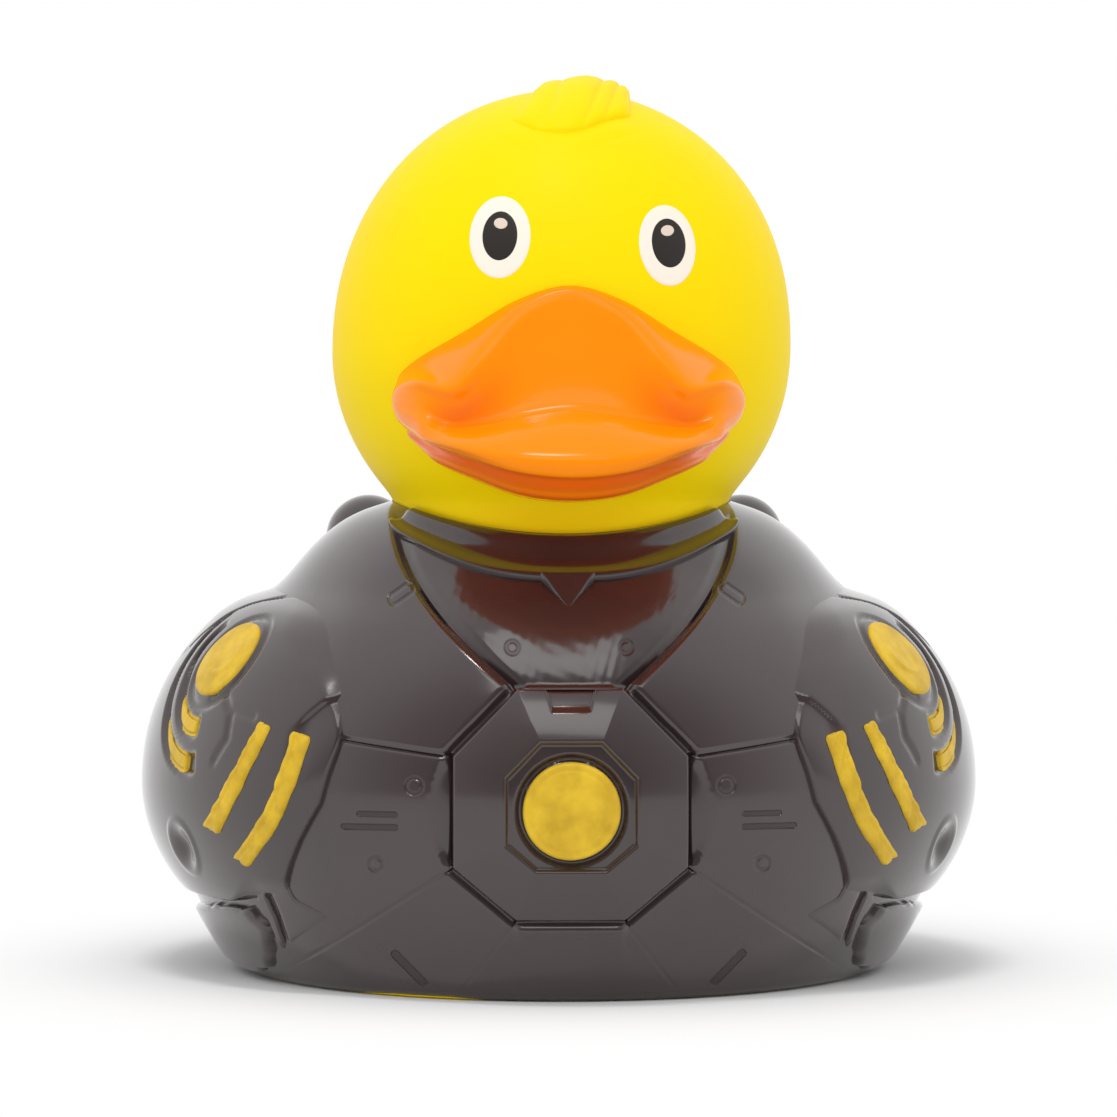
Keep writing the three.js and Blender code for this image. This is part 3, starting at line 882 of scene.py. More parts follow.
make_piece("bare_edge", bare_edge_grid(), yellow_vinyl, "yellow_vinyl")

# %% [markdown]
# ## The head
#
# The head is an egg, a little deeper than it is wide, that runs out below into the upright neck. A lathe
# could turn it, but as a formula it also tells how far forward the face lies at any place, which the eyes,
# the tuft and the bill all need. Below its middle the radius is the smooth larger one of the egg and the
# neck.

# %% Head and neck
HEAD = {"width": 21.6, "depth": 22.0, "crown": 24.4, "jaw": 20.4, "height": 58.7, "forward": 8.0}
HEAD_LEAN = 0.3
CROWN_POWER = 2.17
NECK_RADIUS = 15.7
NECK_BLEND = 0.4
LEAN_SPAN = (-5, 18)
HEAD_COLUMNS = 180
FOOT_INSIDE = 7


def head_radius(rise):
    """The egg's half width at a rise over its middle, blended with the neck by a soft maximum."""
    above = np.clip(rise / HEAD["crown"], 0, 1) ** CROWN_POWER
    below_middle = np.clip(rise / HEAD["jaw"], -1, 0) ** 2
    egg = HEAD["width"] * np.sqrt(1 - above - below_middle)
    below = NECK_RADIUS + NECK_BLEND * np.logaddexp(0, (egg - NECK_RADIUS) / NECK_BLEND)
    return np.where(rise > 0, egg, below)


def head_lean(rise):
    """The head leans very slightly to its left as it rises."""
    return HEAD_LEAN * ease(*LEAN_SPAN, rise)


def head(turn, rise):
    """The head's surface at a turn from the front and a rise over its middle."""
    radius = head_radius(rise)
    x = radius * np.sin(turn) + head_lean(rise)
    y = -HEAD["forward"] - radius * np.cos(turn) * HEAD["depth"] / HEAD["width"]
    return np.stack(np.broadcast_arrays(x, y, HEAD["height"] + rise), -1)


def face(x, z, lift=0.0):
    """The point of the face at x and z in the front view, moved out by lift along the egg's own normal."""
    rise = z - HEAD["height"]
    radius = np.maximum(head_radius(rise), 1e-6)
    across = np.clip((x - head_lean(rise)) / radius, -1, 1)
    turn = np.arcsin(across)
    return head(turn, rise) + outward(head, turn, rise) * np.asarray(lift)[..., None]


def head_grid():
    """Rings from inside the torso up to the crown, closer together towards the top."""
    turn = np.linspace(0, 2 * np.pi, HEAD_COLUMNS, endpoint=False)
    foot = NECK_HEIGHT - HEAD["height"] - FOOT_INSIDE
    low = np.linspace(foot, 0, 70)[:-1]
    high = HEAD["crown"] * np.sin(np.linspace(0, np.pi / 2, 80))[:-1]
    rise = np.concatenate([low, high])
    return head(turn[None, :], rise[:, None])


make_piece("head", head_grid(), yellow_vinyl, "yellow_vinyl", around=True, close=(True, True))

# %% [markdown]
# ## The tuft of hair
#
# Four soft locks are swept up from the forehead and over to the duck's left. They are part of the casting,
# so they are a swelling of the crown and not separate strands. The patch has four border curves in plan,
# blended into each other, and it stands over the crown by an envelope with a sharp valley between one lock
# and the next. In front of its steep edge the forehead rises in a faint brow.

# %% Tuft
# The borders are x and y in plan
TUFT_FRONT = [(-5.1, -18.0), (-4.1, -19.4), (-2.6, -20.8), (-0.5, -21.5), (1.5, -21.1), (3.5, -19.6),
              (6.3, -17.2)]
TUFT_BACK = [(-0.6, -1.0), (1.4, 0.4), (3.2, 0.9), (5.0, 0.2), (6.2, -1.2)]
TUFT_LEFT = [(-5.1, -18.0), (-4.3, -16.4), (-3.4, -13.8), (-2.3, -9.2), (-1.2, -4.5), (-0.6, -1.0)]
TUFT_RIGHT = [(6.3, -17.2), (6.35, -13.5), (6.45, -9.5), (6.6, -5.0), (6.2, -1.2)]
# Where each valley starts and ends, as shares of the tuft's width
LOCK_VALLEYS = ((0.30, 0.30), (0.58, 0.67), (0.76, 0.84))
VALLEY_DEPTH = {"front": 0.42, "back": 0.25}
VALLEY_RUN = 0.45
TUFT_LENGTH = 19.0
TUFT_WIDTH = 9.5
TUFT_COLUMNS = 150
TUFT_CENTRE = (0.9, -13.0)
# The height of the tuft over the crown, at shares of its width from its right to its left
ENVELOPE_SHARES = (0, 0.06, 0.14, 0.28, 0.5, 0.8, 0.9, 0.96, 1)
ENVELOPE_HEIGHTS = (0, 0.4, 0.85, 1.1, 1.5, 1.5, 1.2, 0.8, 0)
FRONT_ROUNDING = 1.5
BROW = {"ahead": 1.1, "half": 1.2, "rise": 0.16}
BORDER_SINK = 0.1
BROW_ROWS = (-2.6, -2.1, -1.7, -1.3, -1.0, -0.7, -0.45, -0.25, -0.1)
FIRST_ROWS = (0.0, 0.08, 0.16, 0.26, 0.38, 0.52, 0.7, 0.95, 1.25, 1.6)


def crown(x, y):
    """The egg's upper surface over a place in plan, and its normal there."""
    across, along = (x - HEAD_LEAN) / HEAD["width"], (y + HEAD["forward"]) / HEAD["depth"]
    up = np.clip(1 - across ** 2 - along ** 2, 1e-6, 1) ** (1 / CROWN_POWER)
    steep = CROWN_POWER / 2 * up ** (CROWN_POWER - 1)
    normal = np.stack([across / HEAD["width"], along / HEAD["depth"], steep / HEAD["crown"]], -1)
    point = np.stack([x, y, HEAD["height"] + HEAD["crown"] * up], -1)
    return point, normal / np.linalg.norm(normal, axis=-1, keepdims=True)


def tuft_plan(u, v):
    """The Coons blend of the four border curves, as points (x, y)."""
    front, back = along_path(TUFT_FRONT, u), along_path(TUFT_BACK, u)
    left, right = along_path(TUFT_LEFT, v), along_path(TUFT_RIGHT, v)
    u, v = u[None, :, None], v[:, None, None]
    blend = mix(front[None], back[None], v) + mix(left[:, None], right[:, None], u)
    corners = mix(mix(front[0], front[-1], u), mix(back[0], back[-1], u), v)
    return blend - corners


def tuft_grid():
    """Rows from the brow to the back of the crown. The lift is envelope times locks, along the normal."""
    u = np.linspace(0, 1, TUFT_COLUMNS)
    far = np.linspace(FIRST_ROWS[-1] + 0.3, TUFT_LENGTH, 60)
    inside = np.concatenate([FIRST_ROWS, far]) / TUFT_LENGTH
    plan = tuft_plan(u, inside)
    ahead = plan[0] - TUFT_CENTRE
    ahead = ahead / np.linalg.norm(ahead, axis=-1, keepdims=True)
    brow = plan[0] - ahead * np.array(BROW_ROWS)[:, None, None]
    plan = np.concatenate([brow, plan])
    across = np.broadcast_to(u, plan.shape[:2])
    from_front = np.broadcast_to(np.concatenate([BROW_ROWS, inside * TUFT_LENGTH])[:, None], plan.shape[:2])
    v = np.clip(from_front / TUFT_LENGTH, 0, 1)
    envelope = np.interp(across, ENVELOPE_SHARES, ENVELOPE_HEIGHTS)
    t = np.clip(from_front / FRONT_ROUNDING, 0, 1)
    envelope = envelope * np.sqrt(1 - (1 - t) ** 2) * mix(0.55, 1.0, ease(0, 0.45, v)) * ease(1, 0.6, v)
    locks = np.ones_like(across)
    for start, end in LOCK_VALLEYS:
        away = np.abs(across - mix(start, end, np.clip(v * 2, 0, 1))) * TUFT_WIDTH
        depth = mix(VALLEY_DEPTH["front"], VALLEY_DEPTH["back"], ease(0.2, 0.5, v))
        locks = locks - depth * np.exp(-away / VALLEY_RUN)
    forehead = BROW["rise"] * hump(from_front + BROW["ahead"], BROW["half"])
    forehead = forehead * ease(0, 0.2, across) * ease(1, 0.8, across)
    border = np.minimum(across, 1 - across)
    ends = np.maximum(ease(BROW_ROWS[1], BROW_ROWS[0], from_front), ease(0.95, 1, v))
    sunk = BORDER_SINK * np.maximum(ease(0.02, 0, border), ends)
    point, normal = crown(plan[..., 0], plan[..., 1])
    return point + normal * (envelope * locks + forehead - sunk)[..., None]


make_piece("tuft", tuft_grid(), yellow_vinyl, "yellow_vinyl")

# %% [markdown]
# ## The bill
#
# The bill is the duck's most modelled part: a band where it leaves the face, two ridges that sweep down
# towards the corners, a deep scoop between them, a crest, a plateau that slopes to the lip, and a lower
# bill tucked under it. A net of points holds that shape: each row follows one of these features from the
# middle of the bill to its round corner, and a smooth curve through the rows and then the columns fills in
# the surface.

# %% Bill net
# Each row is (x, y, z) from the middle to the left corner. In the first two and the last, y is from the face
BILL_ROWS = {
    "root": [(0, 0, 64.3), (4.8, 0, 63.0), (9.5, 0, 60.2),
             (13.1, 0, 58.0), (15.0, 0, 56.7), (15.5, 0, 55.6)],
    "band": [(0, -0.7, 64.0), (4.7, -0.8, 62.7), (9.3, -0.9, 59.9),
             (12.9, -1.1, 57.8), (14.9, -1.1, 56.5), (15.6, -1.2, 55.5)],
    "ridge": [(0, -31.1, 62.9), (4.6, -31.7, 61.5), (8.5, -33.2, 57.9),
              (10.8, -33.6, 55.4), (13.9, -30.9, 55.6), (15.8, -25.9, 55.0)],
    "wall": [(0, -32.3, 58.9), (3.9, -32.6, 58.1), (7.2, -33.8, 55.8),
             (10.2, -33.8, 53.6), (13.8, -31.5, 54.6), (15.95, -26.4, 54.5)],
    "scoop": [(0, -34.6, 53.3), (3.9, -34.6, 52.9), (7.7, -34.2, 52.2),
              (10.8, -33.4, 51.9), (13.7, -31.9, 53.5), (16.0, -26.6, 54.0)],
    "crest": [(0, -37.0, 52.8), (4.1, -36.8, 52.3), (8.1, -35.9, 51.5),
              (11.8, -34.2, 51.4), (13.8, -32.0, 52.8), (16.0, -26.8, 53.6)],
    "plateau": [(0, -39.8, 51.5), (4.7, -39.4, 51.2), (9.2, -37.6, 50.8),
                (12.3, -34.8, 51.2), (14.1, -31.8, 52.3), (15.95, -26.8, 53.2)],
    "lip top": [(0, -41.9, 49.8), (5.2, -41.2, 49.9), (9.9, -38.6, 50.2),
                (12.9, -34.4, 50.8), (14.2, -31.3, 51.6), (15.8, -26.7, 52.7)],
    "lip": [(0, -43.0, 48.4), (5.4, -42.2, 48.7), (10.1, -39.0, 49.6),
            (13.1, -33.9, 50.4), (14.2, -30.7, 51.1), (15.6, -26.5, 52.2)],
    "lip foot": [(0, -42.5, 47.2), (5.2, -41.7, 47.7), (9.8, -38.2, 49.1),
                 (12.8, -33.0, 50.0), (13.8, -30.1, 50.6), (15.2, -26.1, 51.7)],
    "groove": [(0, -40.9, 46.7), (5.0, -40.0, 47.2), (9.4, -36.5, 48.6),
               (12.3, -31.6, 49.8), (13.3, -29.1, 50.3), (14.7, -25.5, 51.3)],
    "lower bill": [(0, -38.6, 45.7), (4.8, -37.7, 46.2), (9.1, -34.7, 47.7),
                   (12.1, -30.4, 48.9), (13.3, -28.2, 49.6), (14.6, -25.0, 50.7)],
    "chin": [(0, -35.0, 44.8), (4.6, -34.2, 45.3), (8.8, -31.8, 46.8),
             (11.8, -28.6, 48.1), (13.0, -26.9, 49.1), (14.1, -24.4, 50.3)],
    "throat": [(0, 0, 44.5), (4.4, 0, 45.0), (8.6, 0, 46.6),
               (11.5, 0, 48.0), (12.7, 0, 49.0), (13.8, 0, 50.2)],
}
BILL_SHIFT = 0.15
ROOT_SINK = 1.5
THROAT_SINK = 2.5
CORNER_SINK = 3.0
CORNER_NARROWS = 0.93
BILL_SIZE = {"rows": 200, "columns": 241}
# How far the bill's colour turns to its painted shade colour, under the lip foot and in the scoop's ends
FOOT_PAINTED_SHADE = 0.8
SCOOP_PAINTED_SHADE = 0.45


def bill_net():
    """The net from the duck's right corner to its left one, with the root and the throat inside the face."""
    net = np.array(list(BILL_ROWS.values()), float)
    for row, sink in ((0, ROOT_SINK), (1, 0), (-1, THROAT_SINK)):
        net[row, :, 1] += face(net[row, :, 0], net[row, :, 2])[:, 1] + sink
    inner = net[:, -1:] * [CORNER_NARROWS, 1, 1] + [0, CORNER_SINK, 0]
    half = np.concatenate([net, inner], 1)
    return np.concatenate([(half * [-1, 1, 1])[:, :0:-1], half], 1)


def bill_grid():
    """A smooth sheet through the net, row by row and then column by column."""
    rows = through(bill_net(), BILL_SIZE["rows"])
    sheet = through(rows.transpose(1, 0, 2), BILL_SIZE["columns"])
    sheet[..., 0] += BILL_SHIFT
    return sheet.transpose(1, 0, 2)[::-1]


def bill_painted_shade(rows, columns):
    """Painted shade: darker orange under the lip foot, where the lower bill faces down, and in the scoop's
    ends.
    """
    reach = len(BILL_ROWS["root"])
    net_rows, net_columns = np.linspace(0, len(BILL_ROWS) - 1, rows), np.linspace(-reach, reach, columns)
    row, column = np.meshgrid(net_rows, net_columns, indexing="ij")
    foot = list(BILL_ROWS).index("lip foot")
    scoop = list(BILL_ROWS).index("scoop")
    under = FOOT_PAINTED_SHADE * ease(foot + 0.05, foot + 0.5, row) * (1 - 0.5 * hump(row - foot - 2.2, 0.6))
    ends = SCOOP_PAINTED_SHADE * hump(row - scoop + 0.1, 1.3) * hump(np.abs(column) - 2.6, 1.5)
    return np.maximum(under, ends)[::-1]


bill = bill_grid()
make_piece("bill", bill, orange_paint, "orange_paint", shade=bill_painted_shade(*bill.shape[:2]))

# %% [markdown]
# ## The eyes
#
# The eyes are pad prints: three flat ovals of ink, one over the other, on the curve of the face. Each is a
# disc of rings and spokes in the front view, laid on the face a few hundredths of a millimetre out. The two
# eyes sit a little to the duck's left of the bill, and their tops lean in towards each other.

# %% Eyes
PRINT_SHARES = np.array([1.0, 0.985, 0.95, 0.85, 0.6, 0.3, 0.03])
PRINT_LIFTS = np.array([0.0, 0.8, 1, 1, 1, 1, 1])
PRINT_SINK = 0.004
PRINT_SPOKES = 72


def eye_print(name, middle, half, lean, lift, material, slot):
    """An oval of ink: rings and spokes round middle, leaning by some degrees, its edge on the skin."""
    turn = np.linspace(0, 2 * np.pi, PRINT_SPOKES, endpoint=False)[None, :]
    share = PRINT_SHARES[:, None]
    a, b = half[0] * share * np.cos(turn), half[1] * share * np.sin(turn)
    tilt = np.radians(lean)
    x = middle[0] + a * np.cos(tilt) + b * np.sin(tilt)
    z = middle[1] + b * np.cos(tilt) - a * np.sin(tilt)
    out = lift * PRINT_LIFTS[:, None] + 0 * turn - PRINT_SINK
    make_piece(name, face(x, z, out), material, slot, around=True, close=(False, True))


PUPIL = {"half": (1.58, 2.27), "lift": 0.08}
GLINT = {"half": (0.62, 0.5), "lift": 0.1, "up": 1.12, "across": 0.02}
WHITE_LIFT = 0.05
EYES = {"left": {"middle": (9.1, 67.9), "half": (2.62, 3.72), "lean": -5.5, "pupil": (9.2, 68.1)},
        "right": {"middle": (-6.1, 68.6), "half": (2.74, 3.76), "lean": 4.5, "pupil": (-6.1, 68.7)}}
for side, eye in EYES.items():
    middle, pupil, lean = eye["middle"], eye["pupil"], eye["lean"]
    eye_print(f"eye_white.{side}", middle, eye["half"], lean, WHITE_LIFT, eye_white, "eye_white_print")
    eye_print(f"pupil.{side}", pupil, PUPIL["half"], lean, PUPIL["lift"], eye_black, "eye_black_print")
    glint = (pupil[0] + GLINT["across"] * lean, pupil[1] + GLINT["up"])
    lean, lift = lean * 2, GLINT["lift"]
    eye_print(f"eye_glint.{side}", glint, GLINT["half"], lean, lift, eye_glint, "eye_white_print")

# %% [markdown]
# ## The collar
#
# A smooth band fills the front of the neck opening. Its upper edge runs into the neck, its lower edge is a
# small step down to the bib, a shallow trough runs along it, and its ends turn up. A pointed tab hangs
# below its middle. Both are sheets over the torso in the same angle and w, with their own borders sunk.

# %% Collar band and tab
COLLAR_HALF_ANGLE = np.radians(66)
COLLAR_COLUMNS = 200
# Shares of the way up the collar
COLLAR_ROWS = [[0, 0.015, 0.03, 0.045, 0.06, 0.08], np.linspace(0.1, 1, 40)]
COLLAR_STEP = {"height": 0.85, "up": 0.06, "ends": 0.86}
COLLAR_TROUGH = {"depth": 0.45, "up": 0.42, "half": 0.38}
COLLAR_TOP = {"depth": 0.35, "from": 0.9}
FOOT_W = 0.785
FOOT_CLIMB = {"w": 0.1, "span": (0.1, 1.1)}
FOOT_TURN = {"w": 0.12, "from": 0.85}
SHEET_SINK = 0.3
TAB = {"half": 2.55, "tip": 0.02, "top": 37.6, "foot": 34.9, "proud": (1.25, 0.35)}
TAB_SLANT = 0.7
TAB_BEVEL = 0.12


def collar_foot(angle):
    """The w of the collar's lower edge: lowest at the front, and up round a quarter ellipse at its ends."""
    turned = np.clip((np.abs(angle) - FOOT_TURN["from"]) / (COLLAR_HALF_ANGLE - FOOT_TURN["from"]), 0, 1)
    climb = FOOT_CLIMB["w"] * ease(*FOOT_CLIMB["span"], np.abs(angle))
    return FOOT_W + climb + FOOT_TURN["w"] * (1 - np.sqrt(1 - turned ** 2))


def collar_grid():
    """Rows from the foot to the neck. The lift is a quick step at the foot, less a trough and a sunk top."""
    angles = np.linspace(-1, 1, COLLAR_COLUMNS) * COLLAR_HALF_ANGLE
    angle, up = np.meshgrid(angles, np.concatenate(COLLAR_ROWS))
    w = mix(collar_foot(angle), 1.0, up)
    side = ease(1, COLLAR_STEP["ends"], np.abs(angle) / COLLAR_HALF_ANGLE)
    lift = -SHEET_SINK + COLLAR_STEP["height"] * ease(0, COLLAR_STEP["up"], up) * side
    lift = lift - COLLAR_TROUGH["depth"] * hump(up - COLLAR_TROUGH["up"], COLLAR_TROUGH["half"])
    lift = lift - COLLAR_TOP["depth"] * ease(COLLAR_TOP["from"], 1, up)
    return raised_torso(angle, w, lift)


def tab_grid():
    """A small triangle under the collar, from two upper corners to its tip, with its edges sunk."""
    across, down = np.meshgrid(np.linspace(-1, 1, 33), np.linspace(0, 1, 25))
    half = mix(TAB["half"], TAB["tip"], down)
    edge = (1 - np.abs(across)) * half * TAB_SLANT
    lift = -SHEET_SINK + mix(*TAB["proud"], down) * ease(0, TAB_BEVEL, edge) * ease(1.0, 0.93, down)
    return on_torso(across * half, mix(TAB["top"], TAB["foot"], down), lift)[::-1]


make_piece("collar", collar_grid(), suit_paint, "suit_paint")
make_piece("collar_tab", tab_grid(), suit_paint, "suit_paint")

# %% [markdown]
# ## The sleeves
#
# Each sleeve is a full lobe moulded over the side of the body. Its front edge is crisp at the bottom and
# fades into a soft fold towards the shoulder, its hem hangs over the hand, and grooves run round its
# shoulder disc. Here it is a sheet over the torso: u runs round from the front edge, v climbs from the hem,
# and the lift adds the step, the fullness and the grooves. Distances along it are in millimetres, from an
# angle and a w.

# %% Sleeve surface
HEM_W, SLEEVE_TOP_W = -0.57, 0.66
SLEEVE_BACK = 138.0
# The front edge is (w, degrees from the front), from the hem up
FRONT_EDGE = [(-0.57, 44.5), (-0.48, 44.4), (-0.40, 43.9), (-0.22, 40.5), (-0.05, 37.0), (0.06, 35.0),
              (0.17, 33.5), (0.32, 33.9), (0.42, 36.9), (0.52, 41.5), (0.59, 46.5), (0.635, 53.0),
              (0.66, 62.0)]
SLEEVE_ROUND, SLEEVE_TALL = 60, 30
SLEEVE_SINK = 0.4
SLEEVE_STEP = 0.5
SLEEVE_FULLNESS = 2.0
MM_ROUND = 37.0
MM_UP, MM_DOWN = 31.0, 17.5
EDGE_STEPS = 300
EDGE_CURVE = through(FRONT_EDGE, EDGE_STEPS)
# Spots are (degrees, w), and distances and lines are millimetres round and up
SHOULDER_DISC = (61.7, 0.355)
ELBOW = (66.0, -0.265)
GROOVE_RADII = (6.1, 8.8)
GROOVE_DEPTHS = (0.65, 0.75)
GROOVE_HALF, GROOVE_WALL = 0.5, 0.4
FINE_GROOVE = {"radius": 4.5, "depth": 0.25, "half": 0.1}
DIMPLE = {"round": 2.2, "up": 2.1, "depth": 0.75, "rim": 0.12}
FOLD_LINE = [(20.0, 10.4), (21.7, 9.7), (24.3, 7.8), (26.4, 5.6)]
FOLD_DEPTH = 0.32
BACK_LINE = [(43.0, 19.6), (46.0, 18.0), (49.0, 15.2), (53.0, 10.6)]
BACK_LINE_DEPTH = 0.5
SMALL_SEAMS = [
    [(38.5, 7.6), (36.6, 7.9), (35.0, 6.6), (31.5, 6.2)],
    [(34.6, 6.4), (34.2, 4.3), (35.6, 2.6)],
]
SMALL_SEAM = {"depth": 0.22, "half": 0.55}


def front_edge(w):
    """The sleeve's front edge in degrees at a w."""
    return np.interp(w, EDGE_CURVE[:, 0], EDGE_CURVE[:, 1])


def sleeve_place(u, v):
    """The angle and w on the torso under a place on the sleeve."""
    w = mix(HEM_W, SLEEVE_TOP_W, v)
    return np.radians(mix(front_edge(w), SLEEVE_BACK, u)), w


def unrolled(degrees, w):
    """Millimetres round and up the torso's side, for a place in degrees and w."""
    return np.radians(degrees) * MM_ROUND, np.where(np.asarray(w) > 0, MM_UP, MM_DOWN) * w


def rolled(round_from, height):
    """The angle and w of a place in millimetres round and up: unrolled, the other way."""
    return round_from / MM_ROUND, height / np.where(height > 0, MM_UP, MM_DOWN)


def beside(angle, w, spot):
    """Millimetres round and up from a spot given in degrees and w."""
    here, there = unrolled(np.degrees(angle), w), unrolled(*spot)
    return here[0] - there[0], here[1] - there[1]


def channel(distance, half_width, edge):
    """1 on the floor of a channel and 0 outside it, with edges this wide."""
    return ease(half_width + edge, half_width, np.abs(distance))


def lobe_lift(u, v):
    """From sunk at the border, up a step at its edges, onto a full crown: sines of u and v."""
    angle, w = sleeve_place(u, v)
    front_width = mix(0.3, 9.0, ease(0.16, 0.5, w))
    hem_width = mix(4.5, 0.7, ease(50.0, 60.0, np.degrees(angle)))
    rim = ease(0, front_width, u * SLEEVE_ROUND) * ease(0, hem_width, v * SLEEVE_TALL)
    rim = rim * ease(0, 8, (1 - u) * SLEEVE_ROUND) * ease(0, 5, (1 - v) * SLEEVE_TALL)
    u_in, v_in = np.clip(u, 0, 1), np.clip(v, 0, 1)
    crown_lift = np.sin(np.pi * u_in ** 0.8) * np.sin(np.pi * v_in) ** 0.7
    return -SLEEVE_SINK + (SLEEVE_SINK + SLEEVE_STEP) * rim + SLEEVE_FULLNESS * crown_lift


def round_marks(angle, w):
    """The depth of two wide grooves and a fine one round the shoulder disc, and of the elbow's dimple."""
    across, up = beside(angle, w, SHOULDER_DISC)
    away, turn = np.hypot(across, up), np.arctan2(up, across)
    arc = ease(-1.75, -1.6, turn) * ease(0.5, 0.2, turn)
    depth = FINE_GROOVE["depth"] * channel(away - FINE_GROOVE["radius"], FINE_GROOVE["half"], GROOVE_WALL)
    for radius, deep in zip(GROOVE_RADII, GROOVE_DEPTHS):
        off = away - radius - 0.9 * ease(-0.6, 0.2, turn)
        depth = depth + deep * arc * channel(off, GROOVE_HALF, GROOVE_WALL)
    across, up = beside(angle, w, ELBOW)
    dimple = np.hypot((across + 0.3 * up) / DIMPLE["round"], (up - 0.2 * across) / DIMPLE["up"])
    return depth + DIMPLE["depth"] * hump(dimple, 1.0) - DIMPLE["rim"] * hump(dimple - 1.15, 0.3)


def line_marks(angle, w):
    """The depth of the fold by the front edge, of the line behind the disc and of two small seams."""
    round_from, height = unrolled(np.degrees(angle), w)
    fold = height - np.interp(round_from, *zip(*FOLD_LINE))
    depth = FOLD_DEPTH * ease(27.2, 25.2, round_from) * ease(0.35, -0.1, fold) * ease(-6.0, -0.4, fold)
    back = channel(height - np.interp(round_from, *zip(*BACK_LINE)), 0.12, 0.3)
    depth = depth + BACK_LINE_DEPTH * back * ease(41.0, 44.0, round_from) * ease(56.0, 52.5, round_from)
    nearest = np.minimum(*(line_distance(round_from, height, path) for path in SMALL_SEAMS))
    return depth + SMALL_SEAM["depth"] * hump(nearest, SMALL_SEAM["half"])


def sleeve_lift(u, v):
    """The lobe less its marks."""
    angle, w = sleeve_place(u, v)
    return lobe_lift(u, v) - round_marks(angle, w) - line_marks(angle, w)


def sleeve(u, v):
    """The sleeve's surface on the duck's +X side."""
    angle, w = sleeve_place(u, v)
    return raised_torso(angle, w, sleeve_lift(u, v))


def sleeve_grid():
    """Columns and rows crowd at the front edge and at the hem, and columns at the grooves."""
    near = np.array([0, 0.08, 0.16, 0.24, 0.32, 0.42, 0.56, 0.75])
    front = np.linspace(1.0 / SLEEVE_ROUND, 0.2, 50)
    u = np.concatenate([near / SLEEVE_ROUND, front, np.linspace(0.205, 0.5, 120), np.linspace(0.51, 1, 40)])
    v = np.concatenate([near / SLEEVE_TALL, np.linspace(1.0 / SLEEVE_TALL, 1, 150)])
    return sleeve(*np.meshgrid(u, v))


make_pair("sleeve", sleeve_grid(), suit_paint, "suit_paint")

# %% [markdown]
# ## Cuffs and hands
#
# Below the hem the hand is a low cushion pressed against the base, in the same paint, with a ragged edge
# towards the front. In front of it lie two shallow panels, the turned-back cuff. All three are cushions
# over the torso: an outline in unrolled millimetres, rings shrinking to its middle, and a rounded shoulder.

# %% Hands and cuff panels
def wobble(turn, size, seed):
    """A slow unevenness round an outline, from four sine waves with seeded phases."""
    phases = np.random.default_rng(seed).uniform(0, 2 * np.pi, 4)
    return size * sum(np.sin(turn * (k + 2) + phase) / (k + 1) for k, phase in enumerate(phases))


def cushion_lift(edge, proud, sink, rounding):
    """From sink below the surface at the edge up to proud, in a rounded shoulder."""
    t = np.clip(edge / rounding, 0, 1)
    return -sink + (sink + proud) * np.sqrt(np.clip(1 - (1 - t) ** 2, 0, 1))


EDGE_SHARES = (0.12, 0.5, 0.88)
OUTLINE_POINTS = 160
RAGGED_STEPS = 40
RAGGED_REACH = 6
CUSHION_SHARES = [[0.03], np.linspace(0.12, 0.7, 10), np.linspace(0.73, 1, 14)]
CUSHION_SINK = 0.15


def closed_path(corners, count):
    """Even points round a closed outline, rounded by a smooth curve through three places on each edge."""
    edges = np.roll(corners, -1, axis=0) - corners
    inner = np.stack([corners + edges * share for share in EDGE_SHARES], 1).reshape(-1, 2)
    return along_path(np.concatenate([inner, inner[:1]]), np.linspace(0, 1, count, endpoint=False))


def torso_cushion(corners, proud, rounding, ragged=0.0, seed=1):
    """A cushion over the torso inside an outline of (degrees, w) corners.

    A ragged one has its front side moved in and out by seeded steps.
    """
    outline = closed_path(np.stack(unrolled(*np.array(corners, float).T), -1), OUTLINE_POINTS)
    middle = outline.mean(0)
    if ragged:
        step = np.random.default_rng(seed).uniform(-ragged, ragged, RAGGED_STEPS)
        place = np.arange(OUTLINE_POINTS) * RAGGED_STEPS / OUTLINE_POINTS
        sharp = np.interp(place, np.arange(RAGGED_STEPS), step)
        front_side = ease(0.5, 1.5, middle[0] - outline[:, 0])
        outline = outline + (outline - middle) / RAGGED_REACH * (sharp * front_side)[:, None]
    size = np.linalg.norm(outline - middle, axis=1).mean()
    share = np.concatenate(CUSHION_SHARES)[::-1]
    spot = middle + (outline - middle) * share[:, None, None]
    angle, w = rolled(spot[..., 0], spot[..., 1])
    lift = cushion_lift((1 - share) * size, proud, CUSHION_SINK, rounding)[:, None] + 0 * angle
    return round_base(raised_torso(angle, w, lift))[:, ::-1]


# The outlines are (degrees, w)
HAND = [(56.0, -0.57), (52.6, -0.66), (52.4, -0.76), (57.0, -0.90), (64.0, -0.95), (80.0, -0.93),
        (92.0, -0.80), (88.0, -0.66), (70.0, -0.60)]
CUFF_STRIP = [(52.4, -0.49), (50.0, -0.48), (49.4, -0.62), (50.0, -0.76), (51.4, -0.80), (51.2, -0.66)]
CUFF_TAB = [(49.4, -0.47), (45.0, -0.40), (43.8, -0.50), (37.2, -0.585), (44.5, -0.70), (49.6, -0.78),
            (49.0, -0.60)]
CAPPED = {"around": True, "close": (False, True)}
hand = torso_cushion(HAND, proud=0.7, rounding=1.0, ragged=0.3, seed=4)
cuff_strip = torso_cushion(CUFF_STRIP, proud=0.4, rounding=0.5, ragged=0.15, seed=6)
cuff_tab = torso_cushion(CUFF_TAB, proud=0.2, rounding=1.2)
make_pair("hand", hand, suit_paint, "suit_paint", **CAPPED)
make_pair("cuff_strip", cuff_strip, suit_paint, "suit_paint", **CAPPED)
make_pair("cuff_tab", cuff_tab, suit_paint, "suit_paint", **CAPPED)

